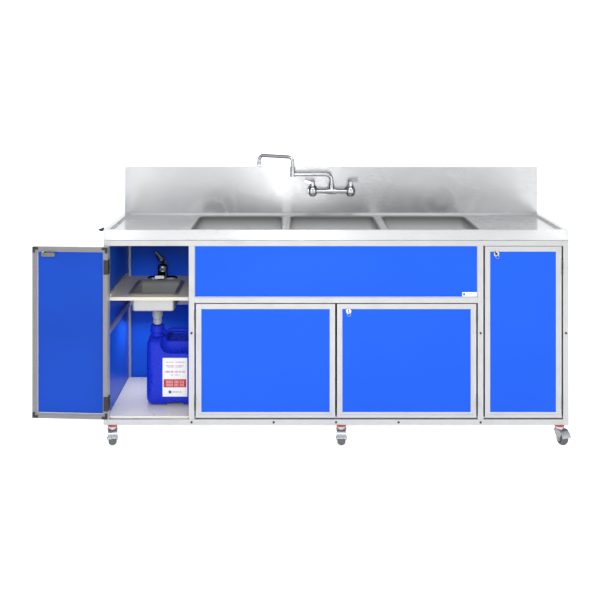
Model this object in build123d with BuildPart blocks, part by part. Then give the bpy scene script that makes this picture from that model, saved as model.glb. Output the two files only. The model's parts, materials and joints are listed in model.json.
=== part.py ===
from build123d import *
import os
from math import atan2, cos, degrees, radians, sin

os.makedirs("parts", exist_ok=True)

# ---------------------------------------------------------------- driving dimensions (mm)
# The origin is the middle of the base frame's underside; the floor is CASTER_HEIGHT below it.
# +X runs to the right of a person at the sink, +Y to the back, +Z up.
TUBE = 25.4                     # square frame tube, 1 in
TUBE_WALL = 1.6
CABINET_WIDTH = 2094.0
CABINET_DEPTH = 694.0
CABINET_HEIGHT = 831.4
INNER_POST_X = 650.5            # centre of the two posts beside the middle cupboard
FRONT = -CABINET_DEPTH / 2
BACK = CABINET_DEPTH / 2
CORNER_POST_X = (CABINET_WIDTH - TUBE) / 2
POST_Y = (CABINET_DEPTH - TUBE) / 2
TOP_RAIL_Z = CABINET_HEIGHT - TUBE
FRONT_MID_RAIL_Z = 549.0
SIDE_MID_RAIL_Z = 401.3
FLOOR_BEARERS_X = (-281.0, 0.0, 281.0)
PANEL = 3.0                     # blue composite panel
FLOOR_THICKNESS = 6.0
FLOOR_TOP = TUBE + FLOOR_THICKNESS

SHEET = 1.5                     # stainless sheet
TOP_WIDTH = 2096.0
TOP_FRONT = -350.0
SPLASH_FACE_Y = 292.0
SPLASH_BACK_Y = 350.0
SPLASH_TOP = 1107.0
APRON_BOTTOM = 833.0
RIM_TOP = 878.0
DECK_TOP = 866.0
RIM_FLAT = 22.0
RIM_SLOPE = 10.0
COVE = 9.0

BOWL_WIDTH = 406.0              # 16 in
BOWL_LENGTH = 508.0             # 20 in, front to back
BOWL_DEPTH = 305.0              # 12 in
BOWL_PITCH = 454.0
BOWL_Y = -22.0
BOWL_CORNER = 45.0
BOWL_LIP = 8.0
BOWL_SHEET = 1.2
BOWL_FLOOR_EDGE = 25.0
BOWLS_X = (-BOWL_PITCH, 0.0, BOWL_PITCH)
BOWL_FLOOR = DECK_TOP - BOWL_DEPTH
DRAIN_RADIUS = 44.0

CASTER_HEIGHT = 86.0
WHEEL_RADIUS = 31.0
WHEEL_WIDTH = 38.0
CASTER_TRAIL = 22.0
STEM_RADIUS = 6.0
RUNNING = 0.05                  # radial clearance of every turning fit

DOOR_GAP = 7.0
DOOR_THICKNESS = 20.0
DOOR_MEMBER = 22.0
DOOR_BAND = 14.0                # outer, full-depth band of the door extrusion
DOOR_STEP = 2.0
MITRE_PLAY = 0.08
PANEL_DEPTH_IN_DOOR = 5.0
PANEL_GROOVE = 6.0
PIN_PROUD = 4.0                 # hinge pins stand this far in front of the cabinet face
PIN_RADIUS = 1.8
KNUCKLE_RADIUS = 3.4
HINGE_HEIGHT = 65.0
LEAF = 2.0
LEAF_WIDTH = 19.0
LEFT_DOOR_OPEN = -184.0         # the left door stands open a little past flat
LOCK_FROM_EDGE = 52.0
LOCK_FROM_TOP = 34.0
CAM_REACH = 55.0
CAM_WIDTH = 18.0


def save(builder, name):
    builder.part.label = name
    export_step(builder.part, f"parts/{name}.step")


def tube_outline():
    """Section of the hollow square tube, in the current sketch."""
    RectangleRounded(TUBE, TUBE, 1.2)
    Rectangle(TUBE - 2 * TUBE_WALL, TUBE - 2 * TUBE_WALL, mode=Mode.SUBTRACT)


# ---------------------------------------------------------------- cabinet frame
posts = [(x, y, 0.0, CABINET_HEIGHT) for x in (-CORNER_POST_X, CORNER_POST_X) for y in (-POST_Y, POST_Y)]
posts += [(x, y, TUBE, TOP_RAIL_Z) for x in (-INNER_POST_X, INNER_POST_X) for y in (-POST_Y, POST_Y)]
with BuildPart() as frame_posts:
    for x, y, low, high in posts:
        with BuildSketch(Plane.XY.offset(low)):
            with Locations((x, y)):
                tube_outline()
        extrude(amount=high - low)
save(frame_posts, "frame_posts")

outer_end = CORNER_POST_X - TUBE / 2
inner_end = INNER_POST_X - TUBE / 2
bay_end = INNER_POST_X + TUBE / 2
long_rails = [(-outer_end, outer_end, y, z) for y in (-POST_Y, POST_Y) for z in (0.0, TOP_RAIL_Z)]
long_rails += [(-inner_end, inner_end, -POST_Y, FRONT_MID_RAIL_Z)]
back_spans = ((-outer_end, -bay_end), (-inner_end, inner_end), (bay_end, outer_end))
long_rails += [(a, b, POST_Y, SIDE_MID_RAIL_Z) for a, b in back_spans]
casters = {                     # stem x, stem y, direction the wheel trails in, degrees
    "front_left": (-1008.0, -POST_Y, -80.0),
    "front_middle": (24.0, -POST_Y, -92.0),
    "front_right": (1008.0, -POST_Y, -68.0),
    "rear_left": (-1008.0, POST_Y, 75.0),
    "rear_middle": (24.0, POST_Y, 100.0),
    "rear_right": (1008.0, POST_Y, 62.0),
}
with BuildPart() as frame_long_rails:
    for start, end, y, z in long_rails:
        with BuildSketch(Plane.YZ.offset(start)):
            with Locations((y, z + TUBE / 2)):
                tube_outline()
        extrude(amount=end - start)
    with BuildSketch(Plane.XY):
        with Locations(*[(x, y) for x, y, _ in casters.values()]):
            Circle(STEM_RADIUS)
    extrude(amount=TUBE_WALL, mode=Mode.SUBTRACT)
save(frame_long_rails, "frame_long_rails")

cross_rails = [(x, z) for x in (-CORNER_POST_X, CORNER_POST_X) for z in (0.0, SIDE_MID_RAIL_Z, TOP_RAIL_Z)]
cross_rails += [(x, 0.0) for x in (-INNER_POST_X, *FLOOR_BEARERS_X, INNER_POST_X)]
cross_rails += [(x, SIDE_MID_RAIL_Z) for x in (-INNER_POST_X, INNER_POST_X)]
rail_inset = POST_Y - TUBE / 2
with BuildPart() as frame_cross_rails:
    for x, z in cross_rails:
        with BuildSketch(Plane.XZ.offset(-rail_inset)):
            with Locations((x, z + TUBE / 2)):
                tube_outline()
        extrude(amount=2 * rail_inset)
save(frame_cross_rails, "frame_cross_rails")

# black deck pads on the post tops, the screws at the ends of the cross rails, and a rubber bumper at the
# left end of the top's front rim
PAD = 24.0
SCREW_RADIUS = 5.0
SCREW_HEAD = 2.4
SOCKET_RADIUS = 2.3
SOCKET_DEPTH = 1.2
BUMPER_Y = -334.0
BUMPER_DEPTH = 16.0
BUMPER_LOW = 870.0
BUMPER_HEIGHT = 17.0
BUMPER_REACH = 25.0
screw_places = [(x, TUBE / 2) for x in (-INNER_POST_X, *FLOOR_BEARERS_X, INNER_POST_X)]
post_rows = (-CORNER_POST_X, -INNER_POST_X, INNER_POST_X, CORNER_POST_X)
screw_places += [(x, SIDE_MID_RAIL_Z + TUBE / 2) for x in post_rows]
bumper_root = -TOP_WIDTH / 2
with BuildPart() as frame_connectors:
    with BuildSketch(Plane.XY.offset(CABINET_HEIGHT)):
        with Locations(*[(x, y) for x, y, _, _ in posts]):
            RectangleRounded(PAD, PAD, 3)
    extrude(amount=DECK_TOP - SHEET - CABINET_HEIGHT)
    for face in (Plane.XZ.offset(-FRONT), Plane.XZ.offset(-BACK - SCREW_HEAD)):
        with BuildSketch(face):
            with Locations(*screw_places):
                Circle(SCREW_RADIUS)
        extrude(amount=SCREW_HEAD)
    with BuildSketch(Plane.XZ.offset(-FRONT + SCREW_HEAD - SOCKET_DEPTH)):
        with Locations(*screw_places):
            RegularPolygon(SOCKET_RADIUS, 6)
    extrude(amount=SOCKET_DEPTH, mode=Mode.SUBTRACT)
    with BuildSketch(Plane.XZ.offset(-BUMPER_Y)):
        with BuildLine():
            Polyline(
                (bumper_root, BUMPER_LOW), (bumper_root, BUMPER_LOW + BUMPER_HEIGHT - 3),
                (bumper_root - 5, BUMPER_LOW + BUMPER_HEIGHT),
                (bumper_root - 12, BUMPER_LOW + BUMPER_HEIGHT - 5),
                (bumper_root - BUMPER_REACH, BUMPER_LOW + BUMPER_HEIGHT / 2), (bumper_root - 15, BUMPER_LOW),
                close=True,
            )
        make_face()
    extrude(amount=-BUMPER_DEPTH)
save(frame_connectors, "frame_connectors")

# ---------------------------------------------------------------- panels
FASCIA_SET_BACK = 8.0
PANEL_PLAY = 0.2
with BuildPart() as fascia_panel:
    with BuildSketch(Plane.XZ.offset(-FRONT - FASCIA_SET_BACK)):
        with Locations((0, (FRONT_MID_RAIL_Z + TUBE + TOP_RAIL_Z) / 2)):
            Rectangle(2 * inner_end - PANEL_PLAY, TOP_RAIL_Z - FRONT_MID_RAIL_Z - TUBE - PANEL_PLAY)
    extrude(amount=-PANEL)
save(fascia_panel, "fascia_panel")

panel_rows = ((TUBE, SIDE_MID_RAIL_Z), (SIDE_MID_RAIL_Z + TUBE, TOP_RAIL_Z))
with BuildPart() as wall_panels:
    for side in (-CORNER_POST_X, CORNER_POST_X):
        with BuildSketch(Plane.YZ.offset(side - PANEL / 2)):
            for low, high in panel_rows:
                with Locations((0, (low + high) / 2)):
                    Rectangle(2 * rail_inset - PANEL_PLAY, high - low - PANEL_PLAY)
        extrude(amount=PANEL)
    with BuildSketch(Plane.XZ.offset(-BACK + 1)):
        for low, high in panel_rows:
            for left, right in back_spans:
                with Locations(((left + right) / 2, (low + high) / 2)):
                    Rectangle(right - left - PANEL_PLAY, high - low - PANEL_PLAY)
    extrude(amount=PANEL)
save(wall_panels, "wall_panels")

with BuildPart() as floor_panel:
    with BuildSketch(Plane.XY.offset(TUBE)):
        Rectangle(2 * CORNER_POST_X - PANEL - 2, 2 * rail_inset - 3.2)
    extrude(amount=FLOOR_THICKNESS)
save(floor_panel, "floor_panel")

# ---------------------------------------------------------------- stainless top
deck_depth = SPLASH_BACK_Y - TOP_FRONT
deck_mid_y = (SPLASH_BACK_Y + TOP_FRONT) / 2
rim_inner_width = TOP_WIDTH - 2 * RIM_FLAT
rim_inner_front = TOP_FRONT + RIM_FLAT
slope_angle = degrees(atan2(RIM_SLOPE, RIM_TOP - DECK_TOP))
with BuildPart() as sink_top:
    with BuildSketch(Plane.XY.offset(APRON_BOTTOM)):
        with Locations((0, deck_mid_y)):
            Rectangle(TOP_WIDTH, deck_depth)
    extrude(amount=RIM_TOP - APRON_BOTTOM)
    # boxed backsplash
    with BuildSketch(Plane.XY.offset(RIM_TOP)):
        with Locations((0, (SPLASH_FACE_Y + SPLASH_BACK_Y) / 2)):
            Rectangle(TOP_WIDTH, SPLASH_BACK_Y - SPLASH_FACE_Y)
    extrude(amount=SPLASH_TOP - RIM_TOP)
    # drainboard well inside the marine edge: sloped at the rim, square at the backsplash
    with BuildSketch(Plane.XY.offset(RIM_TOP)):
        with Locations((0, (rim_inner_front + SPLASH_FACE_Y) / 2 + 20)):
            Rectangle(rim_inner_width, SPLASH_FACE_Y - rim_inner_front + 40)
    extrude(amount=-(RIM_TOP - DECK_TOP), taper=slope_angle, mode=Mode.SUBTRACT)
    with BuildSketch(Plane.XY.offset(APRON_BOTTOM)):
        with Locations((0, (SPLASH_FACE_Y + SPLASH_BACK_Y) / 2)):
            Rectangle(TOP_WIDTH, SPLASH_BACK_Y - SPLASH_FACE_Y)
    extrude(amount=RIM_TOP - APRON_BOTTOM)
    # hollow underside: under the deck, under the rim and inside the backsplash
    with BuildSketch(Plane.XY.offset(APRON_BOTTOM)):
        with Locations((0, deck_mid_y)):
            Rectangle(TOP_WIDTH - 2 * SHEET, deck_depth - 2 * SHEET)
    extrude(amount=DECK_TOP - SHEET - APRON_BOTTOM, mode=Mode.SUBTRACT)
    with BuildSketch(Plane.XY.offset(DECK_TOP - SHEET)):
        with Locations((0, deck_mid_y)):
            Rectangle(TOP_WIDTH - 2 * SHEET, deck_depth - 2 * SHEET)
        with Locations((0, (rim_inner_front - SHEET + SPLASH_BACK_Y) / 2)):
            Rectangle(
                rim_inner_width + 2 * SHEET, SPLASH_BACK_Y - rim_inner_front + SHEET, mode=Mode.SUBTRACT
            )
    extrude(amount=RIM_TOP - DECK_TOP, mode=Mode.SUBTRACT)
    with BuildSketch(Plane.XY.offset(DECK_TOP - SHEET)):
        with Locations((0, (SPLASH_FACE_Y + SPLASH_BACK_Y) / 2)):
            Rectangle(TOP_WIDTH - 2 * SHEET, SPLASH_BACK_Y - SPLASH_FACE_Y - 2 * SHEET)
    extrude(amount=SPLASH_TOP - DECK_TOP, mode=Mode.SUBTRACT)
    # coved corner between drainboard and backsplash
    with BuildSketch(Plane.YZ.offset(-rim_inner_width / 2)):
        with BuildLine():
            Line((SPLASH_FACE_Y - COVE, DECK_TOP), (SPLASH_FACE_Y, DECK_TOP))
            Line((SPLASH_FACE_Y, DECK_TOP), (SPLASH_FACE_Y, DECK_TOP + COVE))
            RadiusArc((SPLASH_FACE_Y, DECK_TOP + COVE), (SPLASH_FACE_Y - COVE, DECK_TOP), COVE)
        make_face()
    extrude(amount=rim_inner_width)
    # openings for the bowls and the faucet's two shanks
    with BuildSketch(Plane.XY.offset(DECK_TOP)):
        with Locations(*[(x, BOWL_Y) for x in BOWLS_X]):
            RectangleRounded(BOWL_WIDTH + 2 * BOWL_LIP, BOWL_LENGTH + 2 * BOWL_LIP, BOWL_CORNER + BOWL_LIP)
    extrude(amount=-SHEET, mode=Mode.SUBTRACT)
save(sink_top, "sink_top")


def rounded_hollow(middle, low, height, plan, floor_radius):
    """Inside of a tub, its corners and floor edge rounded; plan is width, length and corner radius."""
    with BuildPart() as hollow:
        with BuildSketch(Plane.XY.offset(low)):
            with Locations(middle):
                RectangleRounded(*plan)
        extrude(amount=height)
        fillet(hollow.faces().sort_by(Axis.Z)[0].edges(), radius=floor_radius)
    return hollow


def bowl(x):
    """Deep-drawn bowl: rounded tub, rolled lip flush with the deck, drain hole in its floor."""
    plan = (BOWL_WIDTH, BOWL_LENGTH, BOWL_CORNER)
    hollow = rounded_hollow((x, BOWL_Y), BOWL_FLOOR, BOWL_DEPTH, plan, BOWL_FLOOR_EDGE)
    with BuildPart() as tub:
        with BuildSketch(Plane.XY.offset(BOWL_FLOOR - BOWL_SHEET)):
            with Locations((x, BOWL_Y)):
                RectangleRounded(
                    BOWL_WIDTH + 2 * BOWL_SHEET, BOWL_LENGTH + 2 * BOWL_SHEET, BOWL_CORNER + BOWL_SHEET
                )
        extrude(amount=BOWL_DEPTH + BOWL_SHEET)
        fillet(tub.faces().sort_by(Axis.Z)[0].edges(), radius=BOWL_FLOOR_EDGE + 1)
        with BuildSketch(Plane.XY.offset(DECK_TOP)):
            with Locations((x, BOWL_Y)):
                RectangleRounded(
                    BOWL_WIDTH + 2 * BOWL_LIP, BOWL_LENGTH + 2 * BOWL_LIP, BOWL_CORNER + BOWL_LIP
                )
        extrude(amount=-BOWL_LIP + 1)
        add(hollow.part, mode=Mode.SUBTRACT)
        fillet(tub.faces().sort_by(Axis.Z)[-1].inner_wires()[0].edges(), radius=5)
        with BuildSketch(Plane.XY.offset(BOWL_FLOOR)):
            with Locations((x, BOWL_Y)):
                Circle(DRAIN_RADIUS)
        extrude(amount=-BOWL_SHEET, mode=Mode.SUBTRACT)
    return tub


with BuildPart() as sink_bowls:
    for x in BOWLS_X:
        add(bowl(x).part)
save(sink_bowls, "sink_bowls")

TAIL_RADIUS = 20.0
TAIL_BOTTOM = 505.0
TAIL_WALL = 3.0
CUP_DEPTH = 28.0                # strainer cup below the bowl's floor
CUP_FLOOR = 6.0
STRAINER_FLANGE = 57.0
STRAINER_SLOT = 2.6
KNOB_RADIUS = 9.0
with BuildPart() as bowl_strainers:
    for x in BOWLS_X:
        cup_z = BOWL_FLOOR - CUP_DEPTH
        below = cup_z - 2 * CUP_FLOOR
        with BuildSketch(Plane.XZ.offset(-BOWL_Y)):
            with BuildLine():
                Polyline(
                    (x, cup_z), (x + DRAIN_RADIUS - 10, cup_z), (x + DRAIN_RADIUS - 2, BOWL_FLOOR),
                    (x + STRAINER_FLANGE - 4, BOWL_FLOOR + 2.5), (x + STRAINER_FLANGE, BOWL_FLOOR + 1.5),
                    (x + STRAINER_FLANGE, BOWL_FLOOR), (x + DRAIN_RADIUS, BOWL_FLOOR),
                    (x + DRAIN_RADIUS - 6, below), (x + TAIL_RADIUS, below), (x + TAIL_RADIUS, TAIL_BOTTOM),
                    (x, TAIL_BOTTOM), close=True,
                )
            make_face()
        revolve(axis=Axis((x, BOWL_Y, 0), (0, 0, 1)))
        with BuildSketch(Plane.XY.offset(cup_z)):
            with Locations((x, BOWL_Y)):
                with PolarLocations(12, 8):
                    Circle(STRAINER_SLOT)
        extrude(amount=-CUP_FLOOR - 2, mode=Mode.SUBTRACT)
        with BuildSketch(Plane.XY.offset(TAIL_BOTTOM)):
            with Locations((x, BOWL_Y)):
                Circle(TAIL_RADIUS - TAIL_WALL)
        extrude(amount=cup_z - CUP_FLOOR - TAIL_BOTTOM, mode=Mode.SUBTRACT)
        # basket's pull: a thin stem and a knob
        with BuildSketch(Plane.XY.offset(cup_z - CUP_FLOOR)):
            with Locations((x, BOWL_Y)):
                Circle(4)
        extrude(amount=22)
        with BuildSketch(Plane.XY.offset(cup_z + 16)):
            with Locations((x, BOWL_Y)):
                Circle(KNOB_RADIUS)
        extrude(amount=5)
save(bowl_strainers, "bowl_strainers")

PIPE_RADIUS = 21.0
PIPE_Z = 470.0
PIPE_WALL = 3.0
PIPE_END = BOWL_PITCH + 30.0
TANK_TOP = 396.0
TANK_NECK = 16.0
TANK_CAP = 8.0
WASTE_INLET_X = 310.0
drop = PIPE_Z - TANK_TOP - TANK_NECK - TANK_CAP
with BuildPart() as drain_pipe:
    with BuildSketch(Plane.YZ.offset(-PIPE_END)):
        with Locations((BOWL_Y, PIPE_Z)):
            Circle(PIPE_RADIUS)
    extrude(amount=2 * PIPE_END)
    with BuildSketch(Plane.XY.offset(PIPE_Z)):
        with Locations(*[(x, BOWL_Y) for x in BOWLS_X]):
            Circle(TAIL_RADIUS + PIPE_WALL)
    extrude(amount=TAIL_BOTTOM - PIPE_Z)
    with BuildSketch(Plane.XY.offset(PIPE_Z)):
        with Locations((WASTE_INLET_X, BOWL_Y)):
            Circle(PIPE_RADIUS - PIPE_WALL)
    extrude(amount=-drop)
    with BuildSketch(Plane.YZ.offset(-PIPE_END + 2 * PIPE_WALL)):
        with Locations((BOWL_Y, PIPE_Z)):
            Circle(PIPE_RADIUS - PIPE_WALL)
    extrude(amount=2 * (PIPE_END - 2 * PIPE_WALL), mode=Mode.SUBTRACT)
    with BuildSketch(Plane.XY.offset(PIPE_Z)):
        with Locations(*[(x, BOWL_Y) for x in BOWLS_X]):
            Circle(TAIL_RADIUS - PIPE_WALL)
    extrude(amount=TAIL_BOTTOM - PIPE_Z, mode=Mode.SUBTRACT)
    with BuildSketch(Plane.XY.offset(PIPE_Z)):
        with Locations((WASTE_INLET_X, BOWL_Y)):
            Circle(PIPE_RADIUS - 2 * PIPE_WALL)
    extrude(amount=-drop, mode=Mode.SUBTRACT)
save(drain_pipe, "drain_pipe")


# ---------------------------------------------------------------- water system inside the cupboards
TANK_FRONT = -255.0
TANK_BACK = 285.0
TANK_CORNER = 40.0
TANK_WALL = 5.0
TANK_BAND = 4.0                 # the bands stand this proud
TANK_BAND_HEIGHT = 18.0
TANK_BANDS = (120.0, 240.0)
MOUTH_RADIUS = 52.0
TANK_CAP_RADIUS = 58.0
CAP_NOTCH = 2.5


def tank(x_low, x_high, neck_x):
    """Rotomoulded tank with raised bands, an open neck and its screw cap as a second solid."""
    mid = ((x_low + x_high) / 2, (TANK_FRONT + TANK_BACK) / 2)
    length, depth = x_high - x_low, TANK_BACK - TANK_FRONT
    with BuildPart() as vessel:
        with BuildSketch(Plane.XY.offset(FLOOR_TOP)):
            with Locations(mid):
                RectangleRounded(length, depth, TANK_CORNER)
        extrude(amount=TANK_TOP - FLOOR_TOP)
        fillet(vessel.faces().sort_by(Axis.Z)[-1].edges(), radius=22)
        with BuildSketch(Plane.XY.offset(TANK_TOP - 4)):
            with Locations((neck_x, BOWL_Y)):
                Circle(MOUTH_RADIUS)
        extrude(amount=TANK_NECK + 4)
        for band in TANK_BANDS:
            with BuildSketch(Plane.XY.offset(FLOOR_TOP + band)):
                with Locations(mid):
                    RectangleRounded(length + 2 * TANK_BAND, depth + 2 * TANK_BAND, TANK_CORNER + TANK_BAND)
            extrude(amount=TANK_BAND_HEIGHT)
        with BuildSketch(Plane.XY.offset(FLOOR_TOP + TANK_WALL)):
            with Locations(mid):
                RectangleRounded(length - 2 * TANK_WALL, depth - 2 * TANK_WALL, TANK_CORNER - 4)
        extrude(amount=TANK_TOP - FLOOR_TOP - 2 * TANK_WALL, mode=Mode.SUBTRACT)
        with BuildSketch(Plane.XY.offset(TANK_TOP - 2 * TANK_WALL)):
            with Locations((neck_x, BOWL_Y)):
                Circle(MOUTH_RADIUS - 6)
        extrude(amount=2 * TANK_WALL + TANK_NECK, mode=Mode.SUBTRACT)
    with BuildPart() as cap:
        with BuildSketch(Plane.XY.offset(TANK_TOP + TANK_NECK)):
            with Locations((neck_x, BOWL_Y)):
                Circle(TANK_CAP_RADIUS)
                with PolarLocations(TANK_CAP_RADIUS, 24):
                    Circle(CAP_NOTCH, mode=Mode.SUBTRACT)
        extrude(amount=TANK_CAP)
        with BuildSketch(Plane.XY.offset(TANK_TOP + TANK_NECK)):
            with Locations((neck_x, BOWL_Y)):
                Circle(MOUTH_RADIUS - 6.2)
                Circle(MOUTH_RADIUS - 10, mode=Mode.SUBTRACT)
        extrude(amount=2 - TANK_NECK)
    with BuildPart() as whole:
        add(vessel.part)
        add(cap.part)
    return whole


save(tank(-610.0, -40.0, -310.0), "fresh_tank")
save(tank(40.0, 610.0, WASTE_INLET_X), "waste_tank")

HEATER_X = 850.0
HEATER_Y = 150.0
HEATER_SIDE = 280.0
HEATER_HEIGHT = 300.0
HEATER_TOP = FLOOR_TOP + HEATER_HEIGHT
HEATER_CORNER = 26.0
JACKET = 8.0
STUB_SPREAD = 60.0              # each water stub's distance from the middle
STUB_RADIUS = 10.0
STUB_BORE = 6.0
STUB = 24.0
DIAL_RADIUS = 22.0
stubs = ((HEATER_X - STUB_SPREAD, HEATER_Y), (HEATER_X + STUB_SPREAD, HEATER_Y))
with BuildPart() as water_heater:
    with BuildSketch(Plane.XY.offset(FLOOR_TOP)):
        with Locations((HEATER_X, HEATER_Y)):
            RectangleRounded(HEATER_SIDE, HEATER_SIDE, HEATER_CORNER)
    extrude(amount=HEATER_HEIGHT)
    fillet(water_heater.edges().filter_by(Axis.Z, reverse=True), radius=8)
    with BuildSketch(Plane.XY.offset(HEATER_TOP)):
        with Locations(*stubs):
            Circle(STUB_RADIUS)
    extrude(amount=STUB)
    with BuildSketch(Plane.XZ.offset(HEATER_SIDE / 2 - HEATER_Y)):
        with Locations((HEATER_X, FLOOR_TOP + 70)):
            Circle(DIAL_RADIUS)
    extrude(amount=10)
    with BuildSketch(Plane.XY.offset(FLOOR_TOP + JACKET)):
        with Locations((HEATER_X, HEATER_Y)):
            RectangleRounded(HEATER_SIDE - 2 * JACKET, HEATER_SIDE - 2 * JACKET, HEATER_CORNER - 6)
    extrude(amount=HEATER_HEIGHT - 2 * JACKET, mode=Mode.SUBTRACT)
    with BuildSketch(Plane.XY.offset(HEATER_TOP - JACKET - 1)):
        with Locations(*stubs):
            Circle(STUB_BORE)
    extrude(amount=JACKET + 1 + STUB, mode=Mode.SUBTRACT)
save(water_heater, "water_heater")

PUMP_X = 850.0
PUMP_Y = -150.0
PUMP_Z = FLOOR_TOP + 52.0
MOTOR_RADIUS = 34.0
MOTOR_BACK = 95.0
MOTOR_FRONT = 25.0
PUMP_HEAD = (96.0, 84.0, 58.0)  # width, height, thickness
PUMP_PORT = 8.0
with BuildPart() as water_pump:
    with BuildSketch(Plane.YZ.offset(PUMP_X - MOTOR_BACK)):
        with Locations((PUMP_Y, PUMP_Z)):
            Circle(MOTOR_RADIUS)
    extrude(amount=MOTOR_BACK + MOTOR_FRONT)
    with BuildSketch(Plane.YZ.offset(PUMP_X + MOTOR_FRONT)):
        with Locations((PUMP_Y, PUMP_Z)):
            RectangleRounded(PUMP_HEAD[0], PUMP_HEAD[1], 14)
    extrude(amount=PUMP_HEAD[2])
    with BuildSketch(Plane.XY.offset(FLOOR_TOP)):
        with Locations((PUMP_X - 10, PUMP_Y)):
            RectangleRounded(130, 110, 8)
    extrude(amount=PUMP_Z - FLOOR_TOP - 30)
    with BuildSketch(Plane.XZ.offset(62 - PUMP_Y)):
        with Locations((PUMP_X + MOTOR_FRONT + PUMP_HEAD[2] / 2, PUMP_Z + 22)):
            Circle(PUMP_PORT)
    extrude(amount=-124)
save(water_pump, "water_pump")

HOSE_RADIUS = 6.5
HOSE_Y = 304.0                  # the hoses rise behind the bowls, in line with the faucet shanks
SHANK_X = 101.6                 # 8 in faucet centres
FAUCET_Z = 990.0
HAND_X = -838.0
HAND_Y = 140.0
SHELF_TOP = 570.0
SHELF_THICKNESS = 15.0
SHELF_UNDERSIDE = SHELF_TOP - SHELF_THICKNESS
HOT_RUN_Z = 736.0               # heights of the level runs behind the bowls
COLD_RUN_Z = 760.0
HAND_RUN_Z = 460.0
stub_end = HEATER_TOP + STUB
hot_x, cold_x = stubs[0][0], stubs[1][0]
hose_runs = {
    "hot": [(hot_x, HEATER_Y, stub_end), (hot_x, HEATER_Y, 480), (hot_x, HOSE_Y, 560),
            (hot_x, HOSE_Y, HOT_RUN_Z), (-SHANK_X, HOSE_Y, HOT_RUN_Z), (-SHANK_X, HOSE_Y, FAUCET_Z - 12)],
    "cold": [(cold_x, HEATER_Y, stub_end), (cold_x, HEATER_Y, 460), (cold_x, HOSE_Y, 540),
             (cold_x, HOSE_Y, COLD_RUN_Z), (SHANK_X, HOSE_Y, COLD_RUN_Z), (SHANK_X, HOSE_Y, FAUCET_Z - 12)],
    "hand": [(HAND_X, HAND_Y, SHELF_UNDERSIDE - 3), (HAND_X, HAND_Y, 500), (HAND_X, HOSE_Y, HAND_RUN_Z),
             (600, HOSE_Y, HAND_RUN_Z), (600, HOSE_Y, TANK_TOP + 20)],
}
with BuildPart() as supply_hoses:
    for run in hose_runs.values():
        with BuildLine() as path:
            FilletPolyline(*run, radius=25)
        with BuildSketch(Plane(origin=path.line @ 0, z_dir=path.line % 0)):
            Circle(HOSE_RADIUS)
        sweep(path=path.line)
save(supply_hoses, "supply_hoses")

# ---------------------------------------------------------------- bridge faucet with a double-jointed spout
FAUCET_Y = SPLASH_FACE_Y - 65.0
SPOUT_TUBE = 8.5                # radius
NUT_TOP = 1014.0
LEVER_X = 95.0
LEVER_BASE = 1018.0
VALVE_LOW = 966.0
VALVE_TOP = 1014.0
VALVE_RADIUS = 21.0
VALVE_STEM = 5.0
WALL_FLANGE = 7.0
WALL_FLANGE_RADIUS = 27.0
SHANK_RADIUS = 11.0
UNION_NUT = 16.0
BRIDGE_RADIUS = 9.5
BOSS_RADIUS = 14.0
BOSS_HALF = 22.0
SOCKET = SPOUT_TUBE - 3.0       # radius of the socket in the spout's foot
SPOUT_NUT_RADIUS = 14.5
JOINT_RADIUS = 12.0             # barrel of the middle joint
JOINT_PIN = 5.0
INNER_ARM_Z = 1075.0
INNER_ARM = 195.0
OUTER_ARM_Z = 1162.0
OUTER_ARM = 220.0
OUTER_ARM_TURN = 142.0          # degrees from +X
OUTLET_Z = SPLASH_TOP + 6.0
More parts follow.
